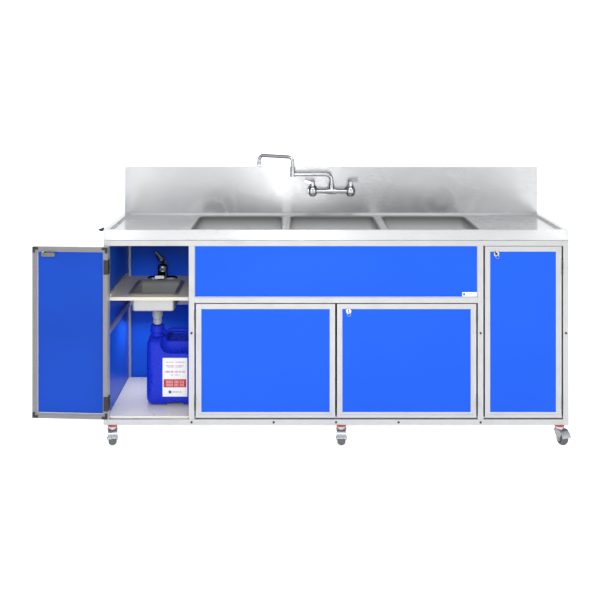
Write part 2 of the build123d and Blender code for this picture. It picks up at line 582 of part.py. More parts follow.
with BuildPart() as faucet_bridge:
    for side in (-1, 1):
        # wall flange, shank and union nut
        with BuildSketch(Plane.XZ.offset(-SPLASH_FACE_Y)):
            with Locations((side * LEVER_X, FAUCET_Z)):
                Circle(WALL_FLANGE_RADIUS)
        extrude(amount=WALL_FLANGE, taper=20)
        with BuildSketch(Plane.XZ.offset(-SPLASH_FACE_Y + WALL_FLANGE)):
            with Locations((side * LEVER_X, FAUCET_Z)):
                Circle(SHANK_RADIUS)
        extrude(amount=SPLASH_FACE_Y - FAUCET_Y - WALL_FLANGE)
        with BuildSketch(Plane.XZ.offset(-SPLASH_FACE_Y + UNION_NUT)):
            with Locations((side * LEVER_X, FAUCET_Z)):
                RegularPolygon(UNION_NUT, 6)
        extrude(amount=UNION_NUT)
        # bulbous valve body
        with BuildSketch(Plane.XZ.offset(-FAUCET_Y)):
            with BuildLine():
                Line((side * LEVER_X, VALVE_LOW), (side * (LEVER_X + 7), VALVE_LOW))
                ThreePointArc(
                    (side * (LEVER_X + 7), VALVE_LOW), (side * (LEVER_X + 18), VALVE_LOW + 8),
                    (side * (LEVER_X + VALVE_RADIUS), VALVE_LOW + 22),
                )
                ThreePointArc(
                    (side * (LEVER_X + VALVE_RADIUS), VALVE_LOW + 22),
                    (side * (LEVER_X + 18), VALVE_TOP - 10), (side * (LEVER_X + 9), VALVE_TOP),
                )
                Line((side * (LEVER_X + 9), VALVE_TOP), (side * LEVER_X, VALVE_TOP))
                Line((side * LEVER_X, VALVE_TOP), (side * LEVER_X, VALVE_LOW))
            make_face()
        revolve(axis=Axis((side * LEVER_X, FAUCET_Y, 0), (0, 0, 1)))
        with BuildSketch(Plane.XY.offset(VALVE_TOP)):
            with Locations((side * LEVER_X, FAUCET_Y)):
                Circle(VALVE_STEM)
        extrude(amount=LEVER_BASE + 16 - VALVE_TOP)
    # bridge tube, its boss and the spout's riser
    with BuildSketch(Plane.YZ.offset(-LEVER_X)):
        with Locations((FAUCET_Y, FAUCET_Z)):
            Circle(BRIDGE_RADIUS)
    extrude(amount=2 * LEVER_X)
    with BuildSketch(Plane.YZ.offset(-BOSS_HALF)):
        with Locations((FAUCET_Y, FAUCET_Z)):
            Circle(BOSS_RADIUS)
    extrude(amount=2 * BOSS_HALF)
    with BuildSketch(Plane.XY.offset(FAUCET_Z)):
        with Locations((0, FAUCET_Y)):
            Circle(SHANK_RADIUS)
    extrude(amount=NUT_TOP - FAUCET_Z - 2)
    with BuildSketch(Plane.XY.offset(NUT_TOP - 2)):
        with Locations((0, FAUCET_Y)):
            Circle(SOCKET - RUNNING)
    extrude(amount=14)
save(faucet_bridge, "faucet_bridge")

with BuildPart() as inner_spout:
    with BuildLine() as path:
        FilletPolyline(
            (0, FAUCET_Y, NUT_TOP), (0, FAUCET_Y, INNER_ARM_Z), (-INNER_ARM, FAUCET_Y, INNER_ARM_Z), radius=30
        )
    with BuildSketch(Plane.XY.offset(NUT_TOP)):
        with Locations((0, FAUCET_Y)):
            Circle(SPOUT_TUBE)
    sweep(path=path.line)
    with BuildSketch(Plane.XY.offset(NUT_TOP - 1)):
        with Locations((0, FAUCET_Y)):
            RegularPolygon(SPOUT_NUT_RADIUS, 6)
    extrude(amount=13)
    with BuildSketch(Plane.XY.offset(INNER_ARM_Z - JOINT_RADIUS)):
        with Locations((-INNER_ARM, FAUCET_Y)):
            Circle(JOINT_RADIUS)
    extrude(amount=2 * JOINT_RADIUS)
    with BuildSketch(Plane.XY.offset(INNER_ARM_Z + JOINT_RADIUS)):
        with Locations((-INNER_ARM, FAUCET_Y)):
            Circle(JOINT_PIN)
    extrude(amount=16)
    # socket that turns on the bridge's spigot
    with BuildSketch(Plane.XY.offset(NUT_TOP - 2)):
        with Locations((0, FAUCET_Y)):
            Circle(SOCKET)
    extrude(amount=15, mode=Mode.SUBTRACT)
save(inner_spout, "inner_spout")

arm_dir = (cos(radians(OUTER_ARM_TURN)), sin(radians(OUTER_ARM_TURN)))
outlet = (-INNER_ARM + OUTER_ARM * arm_dir[0], FAUCET_Y + OUTER_ARM * arm_dir[1])
SLEEVE_LOW = INNER_ARM_Z + JOINT_RADIUS + 0.4
SLEEVE = 20.0
with BuildPart() as outer_spout:
    with BuildLine() as path:
        FilletPolyline(
            (-INNER_ARM, FAUCET_Y, SLEEVE_LOW + SLEEVE - 2), (-INNER_ARM, FAUCET_Y, OUTER_ARM_Z),
            (*outlet, OUTER_ARM_Z), (*outlet, OUTLET_Z), radius=28,
        )
    with BuildSketch(Plane.XY.offset(SLEEVE_LOW + SLEEVE - 2)):
        with Locations((-INNER_ARM, FAUCET_Y)):
            Circle(SPOUT_TUBE)
    sweep(path=path.line)
    with BuildSketch(Plane.XY.offset(SLEEVE_LOW)):
        with Locations((-INNER_ARM, FAUCET_Y)):
            Circle(JOINT_RADIUS)
    extrude(amount=SLEEVE)
    with BuildSketch(Plane.XY.offset(SLEEVE_LOW)):
        with Locations((-INNER_ARM, FAUCET_Y)):
            Circle(JOINT_PIN + RUNNING)
    extrude(amount=16.2, mode=Mode.SUBTRACT)
    with BuildSketch(Plane.XY.offset(OUTLET_Z)):
        with Locations(outlet):
            Circle(SPOUT_TUBE + 1.5)
    extrude(amount=12)
    with BuildSketch(Plane.XY.offset(OUTLET_Z)):
        with Locations(outlet):
            Circle(SPOUT_TUBE - 1.5)
    extrude(amount=10, mode=Mode.SUBTRACT)
save(outer_spout, "outer_spout")


def wrist_lever(side):
    """Hub on the valve stem and a blade that widens towards its rounded end."""
    hub = (side * LEVER_X, FAUCET_Y)
    with BuildPart() as lever:
        with BuildSketch(Plane.XY.offset(LEVER_BASE)):
            with Locations(hub):
                Circle(11)
        extrude(amount=24)
        fillet(lever.faces().sort_by(Axis.Z)[-1].edges(), radius=4)
        with BuildSketch(Plane.XZ.offset(-FAUCET_Y)):
            with BuildLine():
                Polyline(
                    (side * LEVER_X, LEVER_BASE + 12), (side * (LEVER_X + 22), LEVER_BASE + 14),
                    (side * (LEVER_X + 40), LEVER_BASE + 20), (side * (LEVER_X + 40), LEVER_BASE + 31),
                    (side * (LEVER_X + 20), LEVER_BASE + 23), (side * LEVER_X, LEVER_BASE + 21), close=True,
                )
            make_face()
        extrude(amount=8, both=True)
        fillet(lever.edges().filter_by(Axis.Y).group_by(Axis.X)[0 if side < 0 else -1], radius=4)
        with BuildSketch(Plane.XY.offset(LEVER_BASE)):
            with Locations(hub):
                Circle(VALVE_STEM + RUNNING)
        extrude(amount=16.2, mode=Mode.SUBTRACT)
    return lever


save(wrist_lever(-1), "hot_lever")
save(wrist_lever(1), "cold_lever")

# ---------------------------------------------------------------- handwash bay
SHELF = (-1031.0, -664.0, -320.0, 208.0)    # x low, x high, y front, y back
BASIN_X = -834.0
BASIN_Y = -112.0
BASIN_WIDTH = 198.0
BASIN_LENGTH = 308.0
BASIN_CORNER = 15.0
BASIN_TAPER = 8.0               # narrower at the floor by this much
BASIN_FLANGE = 15.0
BASIN_BOTTOM = 493.0
BASIN_SHEET = 1.2
BASIN_TOP = SHELF_TOP + 9.0
NECK_X = -834.0
NECK_Y = -100.0
TAILPIECE_RADIUS = 17.0
TAILPIECE_BOTTOM = 400.0
shelf_mid = ((SHELF[0] + SHELF[1]) / 2, (SHELF[2] + SHELF[3]) / 2)
SHELF_TRIM = 12.0
SHELF_TRIM_HEIGHT = 12.0
trim_front = SHELF[2] + 8
with BuildPart() as hand_shelf:
    with BuildSketch(Plane.XY.offset(SHELF_UNDERSIDE)):
        with Locations(shelf_mid):
            Rectangle(SHELF[1] - SHELF[0], SHELF[3] - SHELF[2])
        with Locations((BASIN_X, BASIN_Y)):
            RectangleRounded(BASIN_WIDTH + 6, BASIN_LENGTH + 6, BASIN_CORNER + 3, mode=Mode.SUBTRACT)
    extrude(amount=SHELF_THICKNESS)
    fillet(hand_shelf.edges().filter_by(Axis.Z).group_by(Axis.Y)[0], radius=7)
    # raised trim along the left edge, rounded at its front end
    with BuildSketch(Plane.YZ.offset(SHELF[0])):
        with BuildLine():
            FilletPolyline(
                (trim_front, SHELF_TOP - 3), (trim_front, SHELF_TOP + SHELF_TRIM_HEIGHT),
                (SHELF[3], SHELF_TOP + SHELF_TRIM_HEIGHT), radius=8,
            )
            Polyline(
                (SHELF[3], SHELF_TOP + SHELF_TRIM_HEIGHT), (SHELF[3], SHELF_TOP - 3),
                (trim_front, SHELF_TOP - 3),
            )
        make_face()
    extrude(amount=SHELF_TRIM)
    with BuildSketch(Plane.XY.offset(SHELF_UNDERSIDE)):
        with Locations((HAND_X, HAND_Y)):
            Circle(12)
    extrude(amount=SHELF_THICKNESS, mode=Mode.SUBTRACT)
save(hand_shelf, "hand_shelf")

basin_plan = (BASIN_WIDTH, BASIN_LENGTH, BASIN_CORNER)


def grown(plan, amount):
    """Width, length and corner radius of a rounded rectangle moved outward all round."""
    width, length, corner = plan
    return width + 2 * amount, length + 2 * amount, corner + amount


with BuildPart() as basin_hollow:
    with BuildSketch(Plane.XY.offset(BASIN_BOTTOM + BASIN_SHEET)):
        with Locations((BASIN_X, BASIN_Y)):
            RectangleRounded(*grown(basin_plan, -BASIN_TAPER / 2))
    with BuildSketch(Plane.XY.offset(BASIN_TOP)):
        with Locations((BASIN_X, BASIN_Y)):
            RectangleRounded(*basin_plan)
    loft()
    fillet(basin_hollow.faces().sort_by(Axis.Z)[0].edges(), radius=9)

with BuildPart() as hand_basin:
    with BuildSketch(Plane.XY.offset(BASIN_BOTTOM)):
        with Locations((BASIN_X, BASIN_Y)):
            RectangleRounded(*grown(basin_plan, BASIN_SHEET - BASIN_TAPER / 2))
    with BuildSketch(Plane.XY.offset(BASIN_TOP)):
        with Locations((BASIN_X, BASIN_Y)):
            RectangleRounded(*grown(basin_plan, BASIN_SHEET))
    loft()
    fillet(hand_basin.faces().sort_by(Axis.Z)[0].edges(), radius=10)
    # raised rim, folded down to the shelf and hollow underneath
    with BuildSketch(Plane.XY.offset(SHELF_TOP)):
        with Locations((BASIN_X, BASIN_Y)):
            RectangleRounded(*grown(basin_plan, BASIN_FLANGE))
    extrude(amount=BASIN_TOP - SHELF_TOP)
    fillet(hand_basin.faces().sort_by(Axis.Z)[-1].edges(), radius=3)
    with BuildSketch(Plane.XY.offset(SHELF_TOP)):
        with Locations((BASIN_X, BASIN_Y)):
            RectangleRounded(*grown(basin_plan, BASIN_FLANGE - BASIN_SHEET))
            RectangleRounded(*grown(basin_plan, 2 * BASIN_SHEET), mode=Mode.SUBTRACT)
    extrude(amount=BASIN_TOP - SHELF_TOP - 4, mode=Mode.SUBTRACT)
    add(basin_hollow.part, mode=Mode.SUBTRACT)
    with BuildSketch(Plane.XY.offset(BASIN_BOTTOM)):
        with Locations((NECK_X, NECK_Y)):
            Circle(TAILPIECE_RADIUS)
    extrude(amount=BASIN_SHEET, mode=Mode.SUBTRACT)
save(hand_basin, "hand_basin")

# waste fitting: flange in the basin, clamped body that narrows, slip nut and tailpiece
BASIN_INSIDE = BASIN_BOTTOM + BASIN_SHEET
FLANGE_RADIUS = 27.0
WASTE_RADIUS = 25.0
NUT_RADIUS = 21.0
NUT_BOTTOM = 408.0
STRAINER_HOLE = 2.6
with BuildPart() as hand_drain:
    with BuildSketch(Plane(origin=(NECK_X, NECK_Y, 0), x_dir=(1, 0, 0), z_dir=(0, -1, 0))):
        with BuildLine():
            Polyline(
                (0, TAILPIECE_BOTTOM), (TAILPIECE_RADIUS, TAILPIECE_BOTTOM), (TAILPIECE_RADIUS, NUT_BOTTOM),
                (NUT_RADIUS, NUT_BOTTOM), (NUT_RADIUS, NUT_BOTTOM + 13),
                (TAILPIECE_RADIUS + 1, NUT_BOTTOM + 15),
                (WASTE_RADIUS, NUT_BOTTOM + 34), (WASTE_RADIUS, BASIN_BOTTOM - 12),
                (WASTE_RADIUS + 5, BASIN_BOTTOM - 12), (WASTE_RADIUS + 5, BASIN_BOTTOM),
                (TAILPIECE_RADIUS, BASIN_BOTTOM), (TAILPIECE_RADIUS, BASIN_INSIDE),
                (FLANGE_RADIUS, BASIN_INSIDE),
                (FLANGE_RADIUS - 2, BASIN_INSIDE + 2), (0, BASIN_INSIDE + 2), close=True,
            )
        make_face()
    revolve(axis=Axis((NECK_X, NECK_Y, 0), (0, 0, 1)))
    with BuildSketch(Plane.XY.offset(TAILPIECE_BOTTOM)):
        with Locations((NECK_X, NECK_Y)):
            Circle(TAILPIECE_RADIUS - 2.5)
    extrude(amount=BASIN_BOTTOM - 8 - TAILPIECE_BOTTOM, mode=Mode.SUBTRACT)
    with BuildSketch(Plane.XY.offset(BASIN_INSIDE + 2)):
        with Locations((NECK_X, NECK_Y)):
            with PolarLocations(9, 6):
                Circle(STRAINER_HOLE)
            Circle(STRAINER_HOLE)
    extrude(amount=-20, mode=Mode.SUBTRACT)
save(hand_drain, "hand_drain")

HAND_CAP_Z = 612.0
ESCUTCHEON = (146.0, 50.0, 9.0)             # length, width, height
SPOUT_REACH = 128.0
SPOUT_ROOT_Z = SHELF_TOP + 24.0
SPOUT_END_Z = SHELF_TOP + 29.0
NOZZLE_RADIUS = 10.0
CAP_SPIGOT = 8.0
with BuildPart() as hand_faucet_body:
    with BuildSketch(Plane.XY.offset(SHELF_TOP)):
        with Locations((HAND_X, HAND_Y)):
            SlotOverall(ESCUTCHEON[0], ESCUTCHEON[1])
    extrude(amount=ESCUTCHEON[2])
    fillet(hand_faucet_body.faces().sort_by(Axis.Z)[-1].edges(), radius=5)
    with BuildSketch(Plane.XY.offset(SHELF_TOP + ESCUTCHEON[2])):
        with Locations((HAND_X, HAND_Y)):
            Circle(25)
    with BuildSketch(Plane.XY.offset(HAND_CAP_Z - 1)):
        with Locations((HAND_X, HAND_Y)):
            Circle(23)
    loft()
    # flat spout, wider at its end, with the outlet under it
    with BuildSketch(Plane.XZ.offset(-HAND_Y)):
        with Locations((HAND_X, SPOUT_ROOT_Z)):
            RectangleRounded(30, 26, 10)
    spout_end = (HAND_X, HAND_Y - SPOUT_REACH, SPOUT_END_Z)
    with BuildSketch(Plane(origin=spout_end, x_dir=(1, 0, 0), z_dir=(0, -1, 0.15))):
        RectangleRounded(44, 14, 5)
    loft()
    with BuildSketch(Plane.XY.offset(SPOUT_END_Z - 13)):
        with Locations((HAND_X, HAND_Y - SPOUT_REACH + 14)):
            Circle(NOZZLE_RADIUS)
    extrude(amount=10)
    with BuildSketch(Plane.XY.offset(SHELF_TOP)):
        with Locations((HAND_X, HAND_Y)):
            Circle(11)
    extrude(amount=-SHELF_THICKNESS)
    with BuildSketch(Plane.XY.offset(HAND_CAP_Z - 1)):
        with Locations((HAND_X, HAND_Y)):
            Circle(CAP_SPIGOT)
    extrude(amount=12)
save(hand_faucet_body, "hand_faucet_body")

# the cap swivels for temperature and carries two ears; the lever lifts between them for flow
LEVER_TURN = 45.0               # the lever rests turned to the hot side, degrees from straight ahead
LEVER_RISE = 46.0               # and raised this many degrees above level
LEVER_PIN = 2.0
EAR_X = 11.0
EAR_THICKNESS = 4.0
EAR_RADIUS = 7.0
CAP_RADIUS = 25.0
CAP_HEIGHT = 28.0
CAP_DOME = 14.0
PIVOT_BACK = 8.0                # the lever pivots this far behind the cap's axis
PIVOT_Z = HAND_CAP_Z + 38.0
lever_turn = radians(LEVER_TURN)
cap_plan = Plane(origin=(HAND_X, HAND_Y, 0), x_dir=(cos(lever_turn), -sin(lever_turn), 0), z_dir=(0, 0, 1))


def cap_side(across):
    """Upright plane beside the cap's axis: x away from the lever's tip, y up."""
    origin = cap_plan.from_local_coords((across, 0, 0))
    return Plane(origin=origin, x_dir=cap_plan.y_dir, z_dir=cap_plan.x_dir)


with BuildPart() as hand_faucet_cap:
    with BuildSketch(cap_plan.offset(HAND_CAP_Z)):
        Circle(CAP_RADIUS)
    extrude(amount=CAP_HEIGHT)
    fillet(hand_faucet_cap.faces().sort_by(Axis.Z)[-1].edges(), radius=CAP_DOME)
    for side in (-1, 1):
        with BuildSketch(cap_side(side * EAR_X - EAR_THICKNESS / 2)):
            with Locations((PIVOT_BACK, PIVOT_Z)):
                Circle(EAR_RADIUS)
            with Locations((PIVOT_BACK, PIVOT_Z - EAR_RADIUS)):
                Rectangle(2 * EAR_RADIUS, 2 * EAR_RADIUS)
            with Locations((PIVOT_BACK, PIVOT_Z)):
                Circle(LEVER_PIN, mode=Mode.SUBTRACT)
        extrude(amount=EAR_THICKNESS)
    with BuildSketch(cap_plan.offset(HAND_CAP_Z)):
        Circle(CAP_SPIGOT + RUNNING)
    extrude(amount=11.2, mode=Mode.SUBTRACT)
save(hand_faucet_cap, "hand_faucet_cap")

LEVER_PLAY = 0.3
barrel_half = EAR_X - EAR_THICKNESS / 2 - LEVER_PLAY
rise = radians(LEVER_RISE)
lever_dir = cap_plan.y_dir * -cos(rise) + Vector(0, 0, sin(rise))
lever_pivot = cap_plan.from_local_coords((0, PIVOT_BACK, PIVOT_Z))
# distance from the pivot, width, thickness and corner radius of the paddle's sections
paddle = (
    (12.0, 20.0, 15.0, 5.0), (24.0, 36.0, 28.0, 11.0), (44.0, 30.0, 21.0, 9.0), (64.0, 20.0, 13.0, 5.0),
    (80.0, 13.0, 8.0, 3.5),
)


def across_lever(reach):
    """Plane square to the lever at a distance from its pivot."""
    return Plane(origin=lever_pivot + lever_dir * reach, x_dir=cap_plan.x_dir, z_dir=lever_dir)


with BuildPart() as hand_faucet_lever:
    with BuildSketch(cap_side(-barrel_half)):
        with Locations((PIVOT_BACK, PIVOT_Z)):
            Circle(6.5)
    extrude(amount=2 * barrel_half)
    with BuildSketch(across_lever(0.0)):
        RectangleRounded(2 * barrel_half, 12, 3)
    extrude(amount=14)
    for near, far in zip(paddle, paddle[1:]):
        for reach, width, thickness, corner in (near, far):
            with BuildSketch(across_lever(reach)):
                RectangleRounded(width, thickness, corner)
        loft()
    fillet(hand_faucet_lever.faces().sort_by(Axis(lever_pivot, lever_dir))[-1].edges(), radius=3)
    with BuildSketch(cap_side(-EAR_X - EAR_THICKNESS)):
        with Locations((PIVOT_BACK, PIVOT_Z)):
            Circle(LEVER_PIN - RUNNING)
    extrude(amount=2 * EAR_X + 2 * EAR_THICKNESS)
save(hand_faucet_lever, "hand_faucet_lever")

JUG = (-879.0, -621.0, -175.0, 75.0)        # x low, x high, y front, y back
JUG_BOTTOM = FLOOR_TOP + 0.5
JUG_SHOULDER = 345.0
JUG_NECK_TOP = 397.0
JUG_WALL = 3.0
jug_mid = ((JUG[0] + JUG[1]) / 2, (JUG[2] + JUG[3]) / 2)
with BuildPart() as jug_hollow:
    with BuildSketch(Plane.XY.offset(JUG_BOTTOM + JUG_WALL)):
        with Locations(jug_mid):
            RectangleRounded(JUG[1] - JUG[0] - 2 * JUG_WALL, JUG[3] - JUG[2] - 2 * JUG_WALL, 35)
    extrude(amount=JUG_SHOULDER - JUG_BOTTOM - 2 * JUG_WALL)
    fillet(jug_hollow.faces().sort_by(Axis.Z)[-1].edges(), radius=21)
    fillet(jug_hollow.faces().sort_by(Axis.Z)[0].edges(), radius=8)

HANDLE_LEFT = -800.0
HANDLE_RIGHT = -640.0
HANDLE_TOP = JUG_SHOULDER + 34.0
HANDLE_BAR = 20.0
HANDLE_FOOT = JUG_SHOULDER - 20.0
JUG_MOUTH = 24.0
with BuildPart() as waste_jug:
    with BuildSketch(Plane.XY.offset(JUG_BOTTOM)):
        with Locations(jug_mid):
            RectangleRounded(JUG[1] - JUG[0], JUG[3] - JUG[2], 38)
    extrude(amount=JUG_SHOULDER - JUG_BOTTOM)
    fillet(waste_jug.faces().sort_by(Axis.Z)[-1].edges(), radius=24)
    fillet(waste_jug.faces().sort_by(Axis.Z)[0].edges(), radius=10)
    with BuildSketch(Plane.XZ.offset(-jug_mid[1])):
        with BuildLine():
            FilletPolyline(
                (HANDLE_LEFT, HANDLE_FOOT), (HANDLE_LEFT + 14, HANDLE_TOP), (HANDLE_RIGHT - 20, HANDLE_TOP),
                (HANDLE_RIGHT, HANDLE_FOOT), radius=16,
            )
            Line((HANDLE_RIGHT, HANDLE_FOOT), (HANDLE_RIGHT - 24, HANDLE_FOOT))
            FilletPolyline(
                (HANDLE_RIGHT - 24, HANDLE_FOOT), (HANDLE_RIGHT - 36, HANDLE_TOP - HANDLE_BAR),
                (HANDLE_LEFT + 32, HANDLE_TOP - HANDLE_BAR), (HANDLE_LEFT + 24, HANDLE_FOOT), radius=8,
            )
            Line((HANDLE_LEFT + 24, HANDLE_FOOT), (HANDLE_LEFT, HANDLE_FOOT))
        make_face()
    extrude(amount=14, both=True)
    with BuildSketch(Plane.XY.offset(JUG_SHOULDER - 10)):
        with Locations((NECK_X, NECK_Y)):
            Circle(JUG_MOUTH + 4)
    extrude(amount=JUG_NECK_TOP - JUG_SHOULDER + 10)
    with BuildSketch(Plane.XY.offset(JUG_NECK_TOP - 24)):
        with Locations((NECK_X, NECK_Y)):
            Circle(JUG_MOUTH + 8)
    extrude(amount=6)
    add(jug_hollow.part, mode=Mode.SUBTRACT)
    with BuildSketch(Plane.XY.offset(JUG_NECK_TOP)):
        with Locations((NECK_X, NECK_Y)):
            Circle(JUG_MOUTH)
    extrude(amount=-(JUG_NECK_TOP - JUG_SHOULDER + 12), mode=Mode.SUBTRACT)
save(waste_jug, "waste_jug")

# ---------------------------------------------------------------- doors, hinges and locks
# Each door: hinge side (-1 left, +1 right), x of the post face beside the hinge, width, low z, high z,
# how far it stands open, heights of its two hinges.
NARROW_DOOR = CORNER_POST_X - INNER_POST_X - TUBE - 2 * DOOR_GAP
WIDE_DOOR = inner_end - DOOR_GAP - 4.5
DOOR_BOTTOM = 33.0
TALL_DOOR_TOP = TOP_RAIL_Z - 2.0
LOW_DOOR_TOP = FRONT_MID_RAIL_Z - 4.0
doors = {
    "left": (-1, -outer_end, NARROW_DOOR, TALL_DOOR_TOP, LEFT_DOOR_OPEN, (102.0, 714.0)),
    "centre_left": (-1, -inner_end, WIDE_DOOR, LOW_DOOR_TOP, 0.0, (97.0, 484.0)),
    "centre_right": (1, inner_end, WIDE_DOOR, LOW_DOOR_TOP, 0.0, (97.0, 484.0)),
    "right": (1, outer_end, NARROW_DOOR, TALL_DOOR_TOP, 0.0, (102.0, 714.0)),
}


def pin_place(door):
    """Plan position of the door's hinge pin, in the middle of the gap and proud of the front."""
    side, post_face = door[:2]
    return post_face - side * DOOR_GAP / 2, FRONT - PIN_PROUD


def door_face(door, depth):
    """Plane of the door at a depth behind its outer face: x along the door from the pin, y up."""
    x, y = pin_place(door)
    turn = radians(door[4])
    inward = PIN_PROUD + depth
    return Plane(
        origin=(x - sin(turn) * inward, y + cos(turn) * inward, 0),
        x_dir=(cos(turn), sin(turn), 0),
        z_dir=(sin(turn), -cos(turn), 0),
    )


def door_plan(door, z):
    """Horizontal plane with its origin on the hinge pin, turned with the door."""
    turn = radians(door[4])
    return Plane(origin=(*pin_place(door), z), x_dir=(cos(turn), sin(turn), 0), z_dir=(0, 0, 1))


def door_edges(door):
    """Hinge edge and free edge, measured along the door from the pin."""
    side = door[0]
    return -side * DOOR_GAP / 2, -side * (DOOR_GAP / 2 + door[2])


def mitred_ring(low_x, high_x, low_z, high_z, inset, band):
    """Four mitred strips inside a rectangle's edges, band wide from inset on, with hairline joints."""
    deep = inset + band
    outer = [(low_x + inset, low_z + inset), (high_x - inset, low_z + inset),
             (high_x - inset, high_z - inset), (low_x + inset, high_z - inset)]
    inner = [(low_x + deep, low_z + deep), (high_x - deep, low_z + deep),
             (high_x - deep, high_z - deep), (low_x + deep, high_z - deep)]
    strips = []
    for i, (along_x, along_z) in enumerate(((1, 0), (0, 1), (-1, 0), (0, -1))):
        j = (i + 1) % 4
        cut_x, cut_z = along_x * MITRE_PLAY, along_z * MITRE_PLAY
        strips.append((
            (outer[i][0] + cut_x, outer[i][1] + cut_z), (outer[j][0] - cut_x, outer[j][1] - cut_z),
            (inner[j][0] - cut_x, inner[j][1] - cut_z), (inner[i][0] + cut_x, inner[i][1] + cut_z),
        ))
    return strips


def door_frame(door):
    """Four mitred extrusions with a full-depth band outside, a stepped band inside and a panel groove."""
    low_x, high_x = sorted(door_edges(door))
    top = door[3]
    members = []
    strips = zip(
        mitred_ring(low_x, high_x, DOOR_BOTTOM, top, 0.0, DOOR_BAND),
        mitred_ring(low_x, high_x, DOOR_BOTTOM, top, DOOR_BAND, DOOR_MEMBER - DOOR_BAND),
        strict=True,
    )
    groove = DOOR_MEMBER - PANEL_GROOVE
    for band, step in strips:
        with BuildPart() as member:
            with BuildSketch(door_face(door, 0.0)):
                Polygon(*band, align=None)
            extrude(amount=-DOOR_THICKNESS)
            with BuildSketch(door_face(door, DOOR_STEP)):
                Polygon(*step, align=None)
            extrude(amount=-(DOOR_THICKNESS - 2 * DOOR_STEP))
            with BuildSketch(door_face(door, PANEL_DEPTH_IN_DOOR)):
                with Locations(((low_x + high_x) / 2, (DOOR_BOTTOM + top) / 2)):
                    Rectangle(high_x - low_x - 2 * groove, top - DOOR_BOTTOM - 2 * groove)
            extrude(amount=-PANEL, mode=Mode.SUBTRACT)
        members.append(member)
    with BuildPart() as frame:
        for member in members:
            add(member.part.solids())
    return frame


def lock_place(door):
    free_edge = door_edges(door)[1]
    return free_edge + door[0] * LOCK_FROM_EDGE, door[3] - LOCK_FROM_TOP


LOCK_BARREL = 9.0
LOCK_BEZEL = 12.0
LOCK_NUT = 13.0
LOCK_FACE = 2.0                 # depth of the bezel's face behind the door's face
LOCK_LENGTH = 20.0
PLUG = 6.5
CAM_DEPTH = 27.0                # the cam passes behind the frame tube
CAM_THICKNESS = 2.5
KEY_SHANK = 14.0
HAS_LOCK = ("left", "centre_right", "right")


def door_panel(door, locked):
    low_x, high_x = sorted(door_edges(door))
    top = door[3]
    groove = DOOR_MEMBER - PANEL_GROOVE
    with BuildPart() as panel:
        with BuildSketch(door_face(door, PANEL_DEPTH_IN_DOOR)):
            with Locations(((low_x + high_x) / 2, (DOOR_BOTTOM + top) / 2)):
                Rectangle(high_x - low_x - 2 * groove, top - DOOR_BOTTOM - 2 * groove)
            if locked:
                with Locations(lock_place(door)):
                    Circle(LOCK_BARREL, mode=Mode.SUBTRACT)
        extrude(amount=-PANEL)
    return panel


KEY_ARM = 26.0
KEY_WIDTH = 12.0
KEY_THICKNESS = 2.0
KNUCKLE = HINGE_HEIGHT / 3
KNUCKLE_PLAY = 0.4


def door_fittings(door):
    """Black corner keys on the inner face, and the two half-wrap hinge leaves with their middle knuckle."""
    side = door[0]
    hinge_x, free_x = door_edges(door)
    low_x, high_x = sorted((hinge_x, free_x))
    with BuildPart() as fittings:
        corners = ((low_x, DOOR_BOTTOM, 1, 1), (high_x, DOOR_BOTTOM, -1, 1),
                   (low_x, door[3], 1, -1), (high_x, door[3], -1, -1))
        for x, z, across, up in corners:
            with BuildSketch(door_face(door, DOOR_THICKNESS)):
                with Locations((x + across * (KEY_ARM / 2 + 1), z + up * (KEY_WIDTH / 2 + 1))):
                    Rectangle(KEY_ARM, KEY_WIDTH)
                with Locations((x + across * (KEY_WIDTH / 2 + 1), z + up * (KEY_ARM / 2 + 1))):
                    Rectangle(KEY_WIDTH, KEY_ARM)
            extrude(amount=-KEY_THICKNESS)
        away = -side                # from the pin into the door
        edge = DOOR_GAP / 2
        back = PIN_PROUD + DOOR_THICKNESS
        for z in door[5]:
            low = z - HINGE_HEIGHT / 2
            with BuildSketch(door_plan(door, low)):
                with Locations((away * (edge - LEAF / 2), (PIN_PROUD + back + LEAF) / 2)):
                    Rectangle(LEAF, back + LEAF - PIN_PROUD)
                with Locations((away * (edge + (LEAF_WIDTH - LEAF) / 2), back + LEAF / 2)):
                    Rectangle(LEAF_WIDTH + LEAF, LEAF)
            extrude(amount=HINGE_HEIGHT)
            with BuildSketch(door_plan(door, low + KNUCKLE + KNUCKLE_PLAY)):
                Circle(KNUCKLE_RADIUS)
                with Locations((away * (edge - LEAF / 2), PIN_PROUD / 2)):
                    Rectangle(LEAF, PIN_PROUD)
                Circle(PIN_RADIUS + RUNNING, mode=Mode.SUBTRACT)
            extrude(amount=KNUCKLE - 2 * KNUCKLE_PLAY)
    return fittings


for name, door in doors.items():
    save(door_frame(door), f"{name}_door_frame")
    save(door_panel(door, name in HAS_LOCK), f"{name}_door_panel")
    save(door_fittings(door), f"{name}_door_fittings")

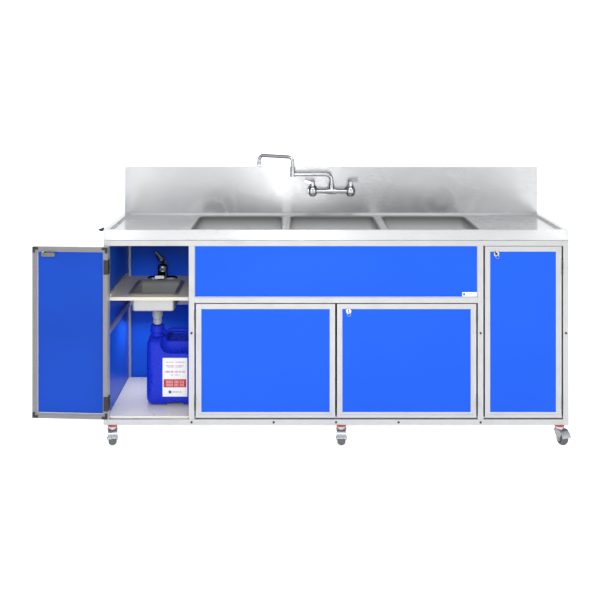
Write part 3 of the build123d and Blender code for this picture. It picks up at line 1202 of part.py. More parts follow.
# leaves on the posts, with their end knuckles, and the pins through all three knuckles
with BuildPart() as hinge_frame_leaves:
    for door in doors.values():
        side, post_face = door[:2]
        pin = pin_place(door)
        plate_x = post_face - side * LEAF / 2
        for z in door[5]:
            low = z - HINGE_HEIGHT / 2
            with BuildSketch(Plane.XY.offset(low)):
                with Locations((plate_x, (FRONT + FRONT + TUBE) / 2 + 0.5)):
                    Rectangle(LEAF, TUBE - 1)
            extrude(amount=HINGE_HEIGHT)
            for start in (low, low + 2 * KNUCKLE):
                with BuildSketch(Plane.XY.offset(start)):
                    with Locations(pin):
                        Circle(KNUCKLE_RADIUS)
                    with Locations((plate_x, FRONT - PIN_PROUD / 2 + 0.5)):
                        Rectangle(LEAF, PIN_PROUD + 1)
                    with Locations(pin):
                        Circle(PIN_RADIUS + RUNNING, mode=Mode.SUBTRACT)
                extrude(amount=KNUCKLE)
    for door in doors.values():
        for z in door[5]:
            with BuildSketch(Plane.XY.offset(z - HINGE_HEIGHT / 2)):
                with Locations(pin_place(door)):
                    Circle(PIN_RADIUS)
            extrude(amount=HINGE_HEIGHT)
save(hinge_frame_leaves, "hinge_frame_leaves")


def lock_housing(door):
    """Barrel through the panel, bezel in front of it and hexagon nut behind it."""
    with BuildPart() as housing:
        with BuildSketch(door_face(door, LOCK_FACE)):
            with Locations(lock_place(door)):
                Circle(LOCK_BARREL)
        extrude(amount=-LOCK_LENGTH)
        with BuildSketch(door_face(door, LOCK_FACE)):
            with Locations(lock_place(door)):
                Circle(LOCK_BEZEL)
        extrude(amount=-(PANEL_DEPTH_IN_DOOR - LOCK_FACE))
        with BuildSketch(door_face(door, PANEL_DEPTH_IN_DOOR + PANEL)):
            with Locations(lock_place(door)):
                RegularPolygon(LOCK_NUT, 6)
        extrude(amount=-5)
        with BuildSketch(door_face(door, LOCK_FACE)):
            with Locations(lock_place(door)):
                Circle(PLUG)
        extrude(amount=-LOCK_LENGTH, mode=Mode.SUBTRACT)
    return housing


def lock_cam(door):
    """Plug with its key outside and its cam inside, resting unlatched: the cam points to the hinge."""
    x, z = lock_place(door)
    to_hinge = door[0]
    with BuildPart() as cam:
        with BuildSketch(door_face(door, 1.5)):
            with Locations((x, z)):
                Circle(PLUG - RUNNING)
        extrude(amount=-(CAM_DEPTH - 1.5))
        with BuildSketch(door_face(door, CAM_DEPTH)):
            with Locations((x + to_hinge * (CAM_REACH - CAM_WIDTH / 2) / 2, z)):
                SlotOverall(CAM_REACH + CAM_WIDTH / 2, CAM_WIDTH)
        extrude(amount=-CAM_THICKNESS)
        with BuildSketch(door_face(door, CAM_DEPTH + CAM_THICKNESS)):
            with Locations((x, z)):
                Circle(5)
        extrude(amount=-2.5)
        # key: shank, then a round bow with a hole in it
        with BuildSketch(door_plan(door, z - 4)):
            with Locations((x, PIN_PROUD + 2.5 - KEY_SHANK / 2)):
                Rectangle(2, KEY_SHANK)
        extrude(amount=8)
        bow = Plane(origin=door_plan(door, z).from_local_coords((x - 1, PIN_PROUD - KEY_SHANK - 5, 0)),
                    x_dir=(0, 0, 1), z_dir=door_plan(door, z).x_dir)
        with BuildSketch(bow):
            Circle(11)
            Circle(3, mode=Mode.SUBTRACT)
        extrude(amount=2)
    return cam


for name in HAS_LOCK:
    save(lock_housing(doors[name]), f"{name}_lock_housing")
    save(lock_cam(doors[name]), f"{name}_lock_cam")

# ---------------------------------------------------------------- casters
AXLE_Z = WHEEL_RADIUS - CASTER_HEIGHT
AXLE_RADIUS = 4.0
CUP_BOTTOM = -7.0
CUP_RADIUS = 16.5               # clear of the middle cross rail
HEAD_TOP = -8.0
HEAD_BOTTOM = -20.0
HEAD_RADIUS = 21.0
HEAD_FLANGE = 3.0
STEM_BOTTOM = HEAD_BOTTOM - 3.0
STEM_TOP = TUBE - TUBE_WALL - 2.0
WASHER_RADIUS = 9.0
WASHER = 2.6
WHEEL_PLAY = 1.0                # between the wheel's hub and each cheek
CHEEK = 2.2
CHEEK_INNER = WHEEL_WIDTH / 2 + WHEEL_PLAY
CHEEK_OUTER = CHEEK_INNER + CHEEK
CHEEK_FOOT = 11.0               # radius of the cheek round the axle
HOOD_GAP = 2.5                  # between the tread and the hood over it
HOOD = 2.0
HOOD_START = 12.0               # the hood's span round the axle, degrees above level
HOOD_SPAN = 98.0
AXLE_NUT = 3.0
AXLE_NUT_RADIUS = 7.0
with BuildPart() as caster_stems:
    for x, y, _ in casters.values():
        with BuildSketch(Plane.XY.offset(CUP_BOTTOM)):
            with Locations((x, y)):
                Circle(CUP_RADIUS)
        extrude(amount=-CUP_BOTTOM)
        with BuildSketch(Plane.XY.offset(STEM_BOTTOM)):
            with Locations((x, y)):
                Circle(STEM_RADIUS)
        extrude(amount=STEM_TOP - STEM_BOTTOM)
        with BuildSketch(Plane.XY.offset(STEM_BOTTOM)):
            with Locations((x, y)):
                Circle(WASHER_RADIUS)
        extrude(amount=WASHER)
save(caster_stems, "caster_stems")


def caster_plan(place):
    """Horizontal plane on the stem, its x the way the wheel trails."""
    x, y, trail = place
    return Plane(origin=(x, y, 0), x_dir=(cos(radians(trail)), sin(radians(trail)), 0), z_dir=(0, 0, 1))


def caster_side(place, across):
    """Upright plane beside the wheel: x the way it trails, y up."""
    plan = caster_plan(place)
    return Plane(origin=plan.from_local_coords((0, across, 0)), x_dir=plan.x_dir, z_dir=-plan.y_dir)


def fork(place):
    """Swivel head on the stem, two cheeks, a hood over the wheel, the axle bolt and its nuts."""
    plan = caster_plan(place)
    axle = (CASTER_TRAIL, AXLE_Z)
    with BuildPart() as body:
        with BuildSketch(plan.offset(HEAD_BOTTOM)):
            Circle(HEAD_RADIUS)
        extrude(amount=HEAD_FLANGE)
        with BuildSketch(plan.offset(HEAD_BOTTOM + HEAD_FLANGE)):
            Circle(HEAD_RADIUS - 1)
        extrude(amount=HEAD_TOP - HEAD_BOTTOM - HEAD_FLANGE, taper=6)
        for across in (CHEEK_OUTER, -CHEEK_INNER):
            with BuildSketch(caster_side(place, across)):
                with BuildLine():
                    Polyline(
                        (CASTER_TRAIL - CHEEK_FOOT, AXLE_Z), (-12, HEAD_BOTTOM - 2),
                        (-12, HEAD_BOTTOM + HEAD_FLANGE), (CASTER_TRAIL + 8, HEAD_BOTTOM + HEAD_FLANGE),
                        (CASTER_TRAIL + 22, HEAD_BOTTOM - 8),
                        (CASTER_TRAIL + CHEEK_FOOT, AXLE_Z),
                    )
                    RadiusArc(
                        (CASTER_TRAIL + CHEEK_FOOT, AXLE_Z), (CASTER_TRAIL - CHEEK_FOOT, AXLE_Z), CHEEK_FOOT
                    )
                make_face()
            extrude(amount=CHEEK)
        with BuildSketch(caster_side(place, CHEEK_OUTER)):
            with Locations(axle):
                Circle(WHEEL_RADIUS + HOOD_GAP + HOOD)
                Circle(WHEEL_RADIUS + HOOD_GAP, mode=Mode.SUBTRACT)
            with BuildLine():
                low_edge = PolarLine(axle, 2 * WHEEL_RADIUS, HOOD_START)
                high_edge = PolarLine(axle, 2 * WHEEL_RADIUS, HOOD_START + HOOD_SPAN)
                RadiusArc(low_edge @ 1, high_edge @ 1, -2 * WHEEL_RADIUS)
            make_face(mode=Mode.INTERSECT)
        extrude(amount=2 * CHEEK_OUTER)
        with BuildSketch(caster_side(place, CHEEK_OUTER + AXLE_NUT)):
            with Locations(axle):
                Circle(AXLE_RADIUS)
        extrude(amount=2 * (CHEEK_OUTER + AXLE_NUT))
        for across in (CHEEK_OUTER + AXLE_NUT, -CHEEK_OUTER):
            with BuildSketch(caster_side(place, across)):
                with Locations(axle):
                    RegularPolygon(AXLE_NUT_RADIUS, 6)
            extrude(amount=AXLE_NUT)
        with BuildSketch(plan.offset(HEAD_BOTTOM)):
            Circle(STEM_RADIUS + RUNNING)
        extrude(amount=HEAD_TOP - HEAD_BOTTOM, mode=Mode.SUBTRACT)
    return body


TREAD_EDGE = WHEEL_RADIUS - 11.0
HUB_RADIUS = 10.0
DISH = 5.0


def wheel(place):
    """Wheel with a strongly crowned rubber tread, dished sides and a hub."""
    plan = caster_plan(place)
    centre = plan.from_local_coords((CASTER_TRAIL, 0, AXLE_Z))
    half = WHEEL_WIDTH / 2
    bore = AXLE_RADIUS + RUNNING
    with BuildPart() as body:
        with BuildSketch(Plane(origin=centre, x_dir=plan.x_dir, z_dir=(0, 0, 1))):
            with BuildLine():
                Polyline(
                    (TREAD_EDGE, half - 1), (TREAD_EDGE - 2, half - DISH), (HUB_RADIUS + 2, half - DISH),
                    (HUB_RADIUS, half), (bore, half), (bore, -half), (HUB_RADIUS, -half),
                    (HUB_RADIUS + 2, DISH - half), (TREAD_EDGE - 2, DISH - half), (TREAD_EDGE, 1 - half),
                )
                ThreePointArc((TREAD_EDGE, 1 - half), (WHEEL_RADIUS, 0), (TREAD_EDGE, half - 1))
            make_face()
        revolve(axis=Axis(centre, plan.y_dir))
    return body


for name, place in casters.items():
    save(fork(place), f"{name}_caster_fork")
    save(wheel(place), f"{name}_caster_wheel")
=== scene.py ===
"""Looks of the portable concession sink: brushed stainless top, satin aluminium frame, blue panels,
blow-moulded jug, chrome faucets and rubber casters, round the fixed CAD frame. Metres throughout."""
import json
from math import cos, pi, radians, sin

import bmesh
import bpy
from mathutils import Matrix, Vector

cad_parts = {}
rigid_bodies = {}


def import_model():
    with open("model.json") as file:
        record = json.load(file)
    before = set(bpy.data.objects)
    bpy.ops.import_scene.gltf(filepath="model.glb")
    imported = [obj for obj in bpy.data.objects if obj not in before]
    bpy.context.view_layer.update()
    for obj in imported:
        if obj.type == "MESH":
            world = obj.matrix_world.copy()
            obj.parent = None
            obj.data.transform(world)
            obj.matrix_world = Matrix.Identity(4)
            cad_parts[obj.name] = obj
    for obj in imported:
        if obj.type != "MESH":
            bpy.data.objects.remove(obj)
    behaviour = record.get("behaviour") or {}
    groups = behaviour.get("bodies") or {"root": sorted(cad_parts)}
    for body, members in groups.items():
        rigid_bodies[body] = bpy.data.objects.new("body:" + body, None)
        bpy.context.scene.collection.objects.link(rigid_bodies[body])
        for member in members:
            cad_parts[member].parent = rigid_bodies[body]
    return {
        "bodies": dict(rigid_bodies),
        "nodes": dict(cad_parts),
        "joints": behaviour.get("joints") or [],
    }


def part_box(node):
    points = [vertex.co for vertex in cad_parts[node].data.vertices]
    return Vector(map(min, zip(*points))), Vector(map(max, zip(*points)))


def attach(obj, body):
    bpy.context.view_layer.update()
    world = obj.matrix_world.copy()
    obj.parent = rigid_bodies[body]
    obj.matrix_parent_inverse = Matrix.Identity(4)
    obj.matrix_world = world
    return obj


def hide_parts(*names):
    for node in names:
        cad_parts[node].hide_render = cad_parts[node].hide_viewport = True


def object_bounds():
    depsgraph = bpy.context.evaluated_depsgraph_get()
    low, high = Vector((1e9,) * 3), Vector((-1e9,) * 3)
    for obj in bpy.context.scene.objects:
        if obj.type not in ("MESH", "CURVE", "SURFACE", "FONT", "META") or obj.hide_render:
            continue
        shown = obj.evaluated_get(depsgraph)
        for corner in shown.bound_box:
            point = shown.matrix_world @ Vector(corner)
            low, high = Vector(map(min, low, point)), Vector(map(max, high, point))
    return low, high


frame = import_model()
nodes = frame["nodes"]
cad_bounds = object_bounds()
scene = bpy.context.scene
MM = 0.001
EVEN = (1.0, 1.0, 1.0)


# ---------------------------------------------------------------- material tools
class Shader:
    """One procedural material, built node by node."""

    def __init__(self, name, color, metallic, roughness, **inputs):
        self.mat = bpy.data.materials.new(name)
        self.mat.use_nodes = True
        self.tree = self.mat.node_tree
        self.bsdf = self.tree.nodes["Principled BSDF"]
        self.color = self.rgb(color)
        self.set("Base Color", self.color)
        self.set("Metallic", metallic)
        self.rough = self.value(roughness)
        self.set("Roughness", self.rough)
        for key, value in inputs.items():
            self.set(key.replace("_", " "), value)

    def set(self, name, source):
        self.plug(source, self.bsdf.inputs[name])

    def plug(self, source, target):
        if isinstance(source, bpy.types.NodeSocket):
            self.tree.links.new(source, target)
        elif hasattr(source, "__len__") and len(source) == 3 and target.type == "RGBA":
            target.default_value = (*source, 1.0)
        else:
            target.default_value = source

    def node(self, kind, **fields):
        made = self.tree.nodes.new(kind)
        for key, value in fields.items():
            setattr(made, key, value)
        return made

    def rgb(self, color):
        made = self.node("ShaderNodeRGB")
        made.outputs[0].default_value = (*color, 1.0)
        return made.outputs[0]

    def value(self, number):
        made = self.node("ShaderNodeValue")
        made.outputs[0].default_value = number
        return made.outputs[0]

    def coords(self, scale=EVEN):
        """Place on the object, in metres, stretched by scale."""
        where = self.node("ShaderNodeTexCoord")
        mapping = self.node("ShaderNodeMapping")
        self.plug(where.outputs["Object"], mapping.inputs["Vector"])
        mapping.inputs["Scale"].default_value = scale
        return mapping.outputs[0]

    def coordinate(self, axis):
        """One coordinate of the place on the object: X, Y or Z."""
        place = self.node("ShaderNodeSeparateXYZ")
        self.plug(self.coords(), place.inputs[0])
        return place.outputs[axis]

    def noise(self, scale, stretch=EVEN, detail=4.0, roughness=0.55, distortion=0.0):
        made = self.node("ShaderNodeTexNoise")
        self.plug(self.coords(stretch), made.inputs["Vector"])
        made.inputs["Scale"].default_value = scale
        made.inputs["Detail"].default_value = detail
        made.inputs["Roughness"].default_value = roughness
        made.inputs["Distortion"].default_value = distortion
        return made.outputs[0]

    def spread(self, source, low, high, start=0.3, end=0.7):
        """Runs from low to high while source runs from start to end."""
        made = self.node("ShaderNodeMapRange")
        self.plug(source, made.inputs["Value"])
        made.inputs["From Min"].default_value = start
        made.inputs["From Max"].default_value = end
        made.inputs["To Min"].default_value = low
        made.inputs["To Max"].default_value = high
        return made.outputs[0]

    def math(self, kind, a, b):
        made = self.node("ShaderNodeMath", operation=kind)
        self.plug(a, made.inputs[0])
        self.plug(b, made.inputs[1])
        return made.outputs[0]

    def mix(self, fac, a, b):
        made = self.node("ShaderNodeMix", data_type="RGBA")
        self.plug(fac, made.inputs[0])
        self.plug(a, made.inputs[6])
        self.plug(b, made.inputs[7])
        return made.outputs[2]

    def tint(self, fac, color):
        """Lays color over the base colour where fac is 1."""
        self.color = self.mix(fac, self.color, self.rgb(color))
        self.set("Base Color", self.color)

    def add_roughness(self, amount):
        self.rough = self.math("ADD", self.rough, amount)
        self.set("Roughness", self.rough)

    def bump(self, height, strength, distance=0.0004):
        made = self.node("ShaderNodeBump")
        made.inputs["Strength"].default_value = strength
        made.inputs["Distance"].default_value = distance
        self.plug(height, made.inputs["Height"])
        if self.bsdf.inputs["Normal"].is_linked:
            self.plug(self.bsdf.inputs["Normal"].links[0].from_socket, made.inputs["Normal"])
        self.set("Normal", made.outputs[0])

    def edge_wear(self, color, width, amount):
        """Lightens edges the way handling does: where the bevelled normal leaves the true one."""
        bevel = self.node("ShaderNodeBevel", samples=4)
        bevel.inputs["Radius"].default_value = width
        geometry = self.node("ShaderNodeNewGeometry")
        dot = self.node("ShaderNodeVectorMath", operation="DOT_PRODUCT")
        self.plug(bevel.outputs[0], dot.inputs[0])
        self.plug(geometry.outputs["Normal"], dot.inputs[1])
        edge = self.spread(dot.outputs["Value"], amount, 0.0, 0.75, 0.98)
        self.tint(edge, color)


# noise stretched into lines along an axis, and that axis tipped a little so that no face is square to it
LENGTHWISE = {"x": (1.0, 45.0, 45.0), "y": (45.0, 1.0, 45.0), "z": (45.0, 45.0, 1.0)}
GRAIN = {"x": (1.0, 0.03, 0.02), "y": (0.03, 1.0, 0.02), "z": (0.03, 0.02, 1.0)}


def brushed(
    name, color, roughness, along,
    streak=0.06, relief=0.04, cloud=0.05, fine=26.0, spread=0.7, metallic=1.0,
):
    """Brushed metal: fine streaks along one axis that spread reflections square to it, and clouds."""
    s = Shader(name, color, metallic, roughness)
    lines = s.noise(fine, LENGTHWISE[along], 6.0, 0.7)
    clouds = s.noise(3.2, EVEN, 3.0, 0.5)
    s.add_roughness(s.spread(lines, -streak, streak))
    s.add_roughness(s.spread(clouds, -cloud, cloud))
    s.tint(s.spread(lines, 0.0, 0.18), [c * 0.72 for c in color])
    s.tint(s.spread(clouds, 0.0, 0.16), [c * 0.84 for c in color])
    s.bump(lines, relief, 0.0003)
    geometry = s.node("ShaderNodeNewGeometry")
    across = s.node("ShaderNodeVectorMath", operation="CROSS_PRODUCT")
    s.plug(geometry.outputs["Normal"], across.inputs[0])
    across.inputs[1].default_value = GRAIN[along]
    s.set("Tangent", across.outputs["Vector"])
    s.set("Anisotropic", spread)
    return s


def polish_arcs(s, centre, reach, pitch):
    """Faint rings left by a disc polisher round a point."""
    away = s.node("ShaderNodeVectorMath", operation="DISTANCE")
    s.plug(s.coords(), away.inputs[0])
    away.inputs[1].default_value = centre
    distance = away.outputs["Value"]
    drift = s.noise(5.0, EVEN, 2.0, 0.5)
    phase = s.math("ADD", s.math("MULTIPLY", distance, 2 * pi / pitch), s.spread(drift, 0.0, 5.0))
    fading = s.spread(distance, 1.0, 0.0, 0.3 * reach, reach)
    rings = s.math("MULTIPLY", s.math("SINE", phase, 0.0), fading)
    s.add_roughness(s.math("MULTIPLY", rings, 0.02))
    s.tint(s.spread(rings, 0.0, 0.14, 0.0, 1.0), (0.92, 0.92, 0.92))


def shaded_walls(s, low, high, tone):
    """Walls that darken between two heights, towards the brim, as they mirror one another."""
    s.tint(s.spread(s.coordinate("Z"), 0.0, 0.9, low, high), tone)


def painted_cove_shade(s, y, z, reach):
    """Painted shade along the coved corner under the backsplash, where the steel is also made duller."""
    behind = s.spread(s.coordinate("Y"), 0.0, 1.0, y - 1.25 * reach, y - 0.75 * reach)
    under = s.spread(s.coordinate("Z"), 1.0, 0.0, z + 0.9 * reach, z + 1.2 * reach)
    # film: mask along the cove that paints shade into the colour and roughens the steel there
    film = s.math("MULTIPLY", s.math("MULTIPLY", behind, under), 0.25)
    s.tint(film, (0.16, 0.16, 0.16))
    s.add_roughness(film)


def paint_shade_on_inner_face(s, tone):
    """Paints shade on the faces that look forward while the left door stands open: its inner side."""
    place = s.node("ShaderNodeTexCoord")
    apart = s.node("ShaderNodeSeparateXYZ")
    s.plug(place.outputs["Normal"], apart.inputs[0])
    s.tint(s.spread(apart.outputs["Y"], 1.0, 0.0, -0.9, -0.6), tone)


def facing(s):
    """0 where a surface faces the eye, 1 where it turns edge-on."""
    weight = s.node("ShaderNodeLayerWeight")
    weight.inputs["Blend"].default_value = 0.5
    return weight.outputs["Facing"]


def satin_aluminium(along, name="aluminium_", inner=None):
    """Anodised extrusion: die lines along the length, faint mottling, smudges, bright worn edges."""
    s = Shader(name + along, (0.58, 0.58, 0.575), 0.75, 0.40)
    lines = s.noise(55.0, LENGTHWISE[along], 4.0, 0.6)
    smudge = s.noise(14.0, EVEN, 5.0, 0.6, 0.4)
    s.add_roughness(s.spread(lines, -0.05, 0.06))
    s.add_roughness(s.spread(smudge, -0.03, 0.10, 0.45, 0.75))
    s.tint(s.spread(lines, 0.0, 0.16), (0.50, 0.50, 0.50))
    s.tint(s.spread(smudge, 0.0, 0.10, 0.5, 0.8), (0.44, 0.44, 0.43))
    s.edge_wear((0.70, 0.70, 0.70), 0.0009, 0.5)
    if inner:
        # inner: tone of painted shade for the open left door's inner side
        paint_shade_on_inner_face(s, inner)
    s.bump(lines, 0.05, 0.0003)
    return s.mat


def blue_laminate(name="blue_laminate", inner=None):
    """Smooth blue composite panel: orange-peel sheen, slight tone drift, a few hairline scuffs."""
    s = Shader(name, (0.010, 0.098, 0.66), 0.0, 0.36, Specular_IOR_Level=0.15)
    drift = s.noise(1.7, EVEN, 2.0, 0.5)
    peel = s.noise(420.0, EVEN, 2.0, 0.5)
    scuff = s.noise(9.0, (1.0, 1.0, 14.0), 6.0, 0.75, 0.6)
    if inner:
        # inner: tone of painted shade for the open left door's inner side
        paint_shade_on_inner_face(s, inner)
    s.tint(s.spread(drift, 0.0, 0.30, 0.35, 0.65), (0.010, 0.085, 0.62))
    s.tint(s.spread(scuff, 0.0, 0.25, 0.68, 0.80), (0.05, 0.17, 0.78))
    s.add_roughness(s.spread(scuff, 0.0, 0.18, 0.55, 0.80))
    s.add_roughness(s.spread(drift, -0.03, 0.04))
    s.bump(peel, 0.06, 0.0002)
    return s.mat


def plastic(name, color, roughness, grain=180.0, relief=0.12, shade=0.75, **inputs):
    """Moulded plastic: fine grain, tone drift and dulled patches."""
    s = Shader(name, color, 0.0, roughness, **inputs)
    fine = s.noise(grain, EVEN, 3.0, 0.6)
    drift = s.noise(7.0, EVEN, 4.0, 0.55)
    s.tint(s.spread(drift, 0.0, 0.5, 0.4, 0.7), [c * shade for c in color])
    s.add_roughness(s.spread(fine, -0.06, 0.08))
    s.add_roughness(s.spread(drift, -0.04, 0.08))
    s.bump(fine, relief, 0.0003)
    return s


def chrome():
    """Polished plating: dark towards its outline, as plating mirrors the unlit room, with water spots."""
    s = Shader("chrome_plate", (0.74, 0.75, 0.77), 1.0, 0.09, Specular_Tint=(0.10, 0.10, 0.11))
    spots = s.noise(160.0, EVEN, 5.0, 0.6)
    ripple = s.noise(24.0, EVEN, 2.0, 0.5)
    s.tint(s.spread(facing(s), 0.0, 0.94, 0.12, 0.50), (0.035, 0.036, 0.04))
    s.add_roughness(s.spread(spots, 0.0, 0.14, 0.55, 0.75))
    s.tint(s.spread(spots, 0.0, 0.20, 0.58, 0.80), (0.50, 0.50, 0.50))
    s.bump(ripple, 0.03, 0.0006)
    return s.mat


def zinc():
    """Bright zinc: spangled, with painted dark reflection towards its outline, and brownish film in the
    folds.
    """
    s = Shader("zinc_plate", (0.64, 0.66, 0.70), 1.0, 0.24)
    cells = s.node("ShaderNodeTexVoronoi")
    s.plug(s.coords(), cells.inputs["Vector"])
    cells.inputs["Scale"].default_value = 220.0
    film = s.noise(40.0, EVEN, 5.0, 0.6)
    s.add_roughness(s.spread(cells.outputs["Distance"], -0.05, 0.12, 0.0, 0.8))
    # painted reflection: darker towards the outline, as the plating mirrors the unlit room
    s.tint(s.spread(facing(s), 0.0, 0.85, 0.22, 0.70), (0.07, 0.08, 0.10))
    s.tint(s.spread(film, 0.0, 0.30, 0.5, 0.8), (0.50, 0.47, 0.40))
    s.bump(cells.outputs["Distance"], 0.05, 0.0003)
    return s.mat


def wheel_rubber():
    """Dark grey rubber: fine grain, dust on the tread."""
    s = plastic("wheel_rubber", (0.115, 0.115, 0.12), 0.62, 320.0, 0.35, 0.7)
    dust = s.noise(30.0, EVEN, 6.0, 0.7)
    s.tint(s.spread(dust, 0.0, 0.4, 0.55, 0.8), (0.24, 0.23, 0.215))
    return s.mat


def jug_blue():
    """Glossy blow-moulded polyethylene: deep blue, waxy, with a soft ripple."""
    s = plastic("jug_blue", (0.008, 0.028, 0.56), 0.26, 90.0, 0.02, 0.8, Subsurface_Weight=0.04)
    s.set("Subsurface Radius", (0.2, 0.4, 2.0))
    s.set("Subsurface Scale", 0.004)
    s.set("Specular IOR Level", 0.22)
    ripple = s.noise(16.0, (1.0, 1.0, 0.6), 2.0, 0.5)
    s.bump(ripple, 0.10, 0.002)
    return s.mat


def hose_weave():
    """Braided hose: crossed diagonal threads over rubber."""
    s = Shader("hose_weave", (0.10, 0.10, 0.11), 0.0, 0.6)
    waves = []
    for turn in (0.8, -0.8):
        wave = s.node("ShaderNodeTexWave", wave_type="BANDS", bands_direction="DIAGONAL")
        s.plug(s.coords((1.0, turn, 1.0)), wave.inputs["Vector"])
        wave.inputs["Scale"].default_value = 260.0
        waves.append(wave.outputs["Fac"])
    braid = s.math("MULTIPLY", waves[0], waves[1])
    s.tint(s.spread(braid, 0.0, 0.6, 0.1, 0.8), (0.30, 0.30, 0.31))
    s.bump(braid, 0.4, 0.0006)
    return s.mat


SPLASH_Y = 0.292                # face of the backsplash
DECK_Z = 0.866                  # top of the drainboards
COVE = 0.009                    # radius of the corner between the two
BRIM_SHADE = 0.012              # the bowls' walls are darkest this far under the deck, and above
RING_PITCH = 0.085


def steel_deck():
    s = brushed("stainless_deck", (0.71, 0.71, 0.715), 0.24, "x", streak=0.035, relief=0.02)
    for centre, reach in (
        ((0.57, SPLASH_Y, 0.94), 0.26), ((-0.62, SPLASH_Y, 0.86), 0.22), ((0.86, 0.10, DECK_Z), 0.20),
    ):
        polish_arcs(s, centre, reach, RING_PITCH)
    # painted shade along the cove under the backsplash
    painted_cove_shade(s, SPLASH_Y, DECK_Z, COVE)
    return s.mat


def steel_bowls():
    s = brushed(
        "stainless_bowl", (0.70, 0.70, 0.705), 0.34, "z",
        streak=0.03, relief=0.02, cloud=0.08, fine=20.0, spread=0.4, metallic=0.5,
    )
    shaded_walls(s, DECK_Z - 5 * BRIM_SHADE, DECK_Z - BRIM_SHADE, (0.12, 0.118, 0.115))
    return s.mat


def steel_basin():
    s = brushed(
        "stainless_basin", (0.50, 0.50, 0.49), 0.36, "z",
        streak=0.05, cloud=0.06, fine=20.0, spread=0.3, metallic=0.6,
    )
    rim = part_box("hand_basin")[1][2]
    shaded_walls(s, rim - 19 * MM, rim - 5 * MM, (0.22, 0.215, 0.21))
    return s.mat


stainless = steel_deck()
stainless_bowl = steel_bowls()
stainless_basin = steel_basin()
stainless_tray = brushed(
    "stainless_tray", (0.66, 0.62, 0.53), 0.42, "y",
    streak=0.05, cloud=0.06, fine=20.0, spread=0.3, metallic=0.12,
).mat
cam_steel = brushed(
    "cam_steel", (0.24, 0.22, 0.19), 0.36, "z", relief=0.05, cloud=0.08, fine=60.0, spread=0.3,
).mat
aluminium = {along: satin_aluminium(along) for along in "xyz"}
# Copies of the frame and panel looks with painted shade on the open left door's inner side
left_door_aluminium_shaded = satin_aluminium("z", "aluminium_left_door_painted_shade_", (0.26, 0.26, 0.26))
blue = blue_laminate()
left_door_blue_shaded = blue_laminate("blue_laminate_left_door_painted_shade", (0.005, 0.048, 0.36))
black = plastic("black_moulding", (0.018, 0.018, 0.02), 0.42).mat
hinge_paint = plastic("hinge_coat", (0.055, 0.056, 0.06), 0.40, 260.0, 0.2, 0.6).mat
white_floor = plastic("white_sheet", (0.90, 0.87, 0.76), 0.30, 60.0, 0.01, 0.95).mat
drain_grey = plastic("drain_grey", (0.50, 0.52, 0.54), 0.35, 120.0, 0.1, 0.8, Transmission_Weight=0.25).mat
tank_white = plastic("tank_white", (0.80, 0.80, 0.77), 0.48, 70.0, 0.3, 0.85, Subsurface_Weight=0.1).mat
enamel = plastic("heater_enamel", (0.78, 0.79, 0.79), 0.28, 240.0, 0.08, 0.9).mat
pump_black = plastic("pump_black", (0.03, 0.03, 0.034), 0.45, 200.0, 0.3, 0.6).mat
chrome_plate = chrome()
zinc_plate = zinc()
rubber = wheel_rubber()
jug_plastic = jug_blue()
braid = hose_weave()

# ---------------------------------------------------------------- materials on the CAD nodes
looks = {
    "frame_posts": aluminium["z"], "frame_long_rails": aluminium["x"], "frame_cross_rails": aluminium["y"],
    "frame_connectors": black, "fascia_panel": blue, "wall_panels": blue, "floor_panel": white_floor,
    "hinge_frame_leaves": hinge_paint, "sink_top": stainless, "sink_bowls": stainless_bowl,
    "bowl_strainers": chrome_plate, "drain_pipe": drain_grey, "fresh_tank": tank_white,
    "waste_tank": tank_white, "water_heater": enamel, "water_pump": pump_black, "supply_hoses": braid,
    "faucet_bridge": chrome_plate, "inner_spout": chrome_plate, "outer_spout": chrome_plate,
    "hot_lever": chrome_plate, "cold_lever": chrome_plate, "hand_shelf": stainless_tray,
    "hand_basin": stainless_basin, "hand_drain": drain_grey, "hand_faucet_body": chrome_plate,
    "hand_faucet_cap": chrome_plate, "hand_faucet_lever": chrome_plate, "waste_jug": jug_plastic,
    "caster_stems": zinc_plate, "left_lock_cam": cam_steel, "left_door_frame": left_door_aluminium_shaded,
    "left_door_panel": left_door_blue_shaded,
}
endings = {
    "_door_frame": aluminium["z"], "_door_panel": blue, "_door_fittings": black,
    "_lock_housing": chrome_plate, "_lock_cam": chrome_plate,
    "_caster_fork": zinc_plate, "_caster_wheel": rubber,
}
for name, obj in nodes.items():
    look = looks.get(name) or next(m for ending, m in endings.items() if name.endswith(ending))
    obj.data.materials.clear()
    obj.data.materials.append(look)


# ---------------------------------------------------------------- mesh tools
def add_piece(name, mesh, material, body, smooth=True):
    """Links a finished mesh as one piece that rides on a CAD body."""
    obj = bpy.data.objects.new(name, mesh)
    scene.collection.objects.link(obj)
    mesh.materials.clear()
    mesh.materials.append(material)
    for face in mesh.polygons:
        face.use_smooth = smooth
    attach(obj, body)
    return obj


def mesh_from(builder, name):
    """Mesh of a finished builder, with its faces turned outwards."""
    bmesh.ops.recalc_face_normals(builder, faces=builder.faces)
    mesh = bpy.data.meshes.new(name)
    builder.to_mesh(mesh)
    builder.free()
    return mesh


def rounded_block(low, high, radius, segments=4):
    """Box between two corners with every edge rounded."""
    block = bmesh.new()
    size = Vector(high) - Vector(low)
    middle = (Vector(high) + Vector(low)) / 2
    bmesh.ops.create_cube(block, size=1.0)
    bmesh.ops.scale(block, vec=size, verts=block.verts)
    bmesh.ops.translate(block, vec=middle, verts=block.verts)
    bmesh.ops.bevel(
        block, geom=block.edges[:], offset=radius, segments=segments, affect="EDGES", profile=0.5
    )
    return block


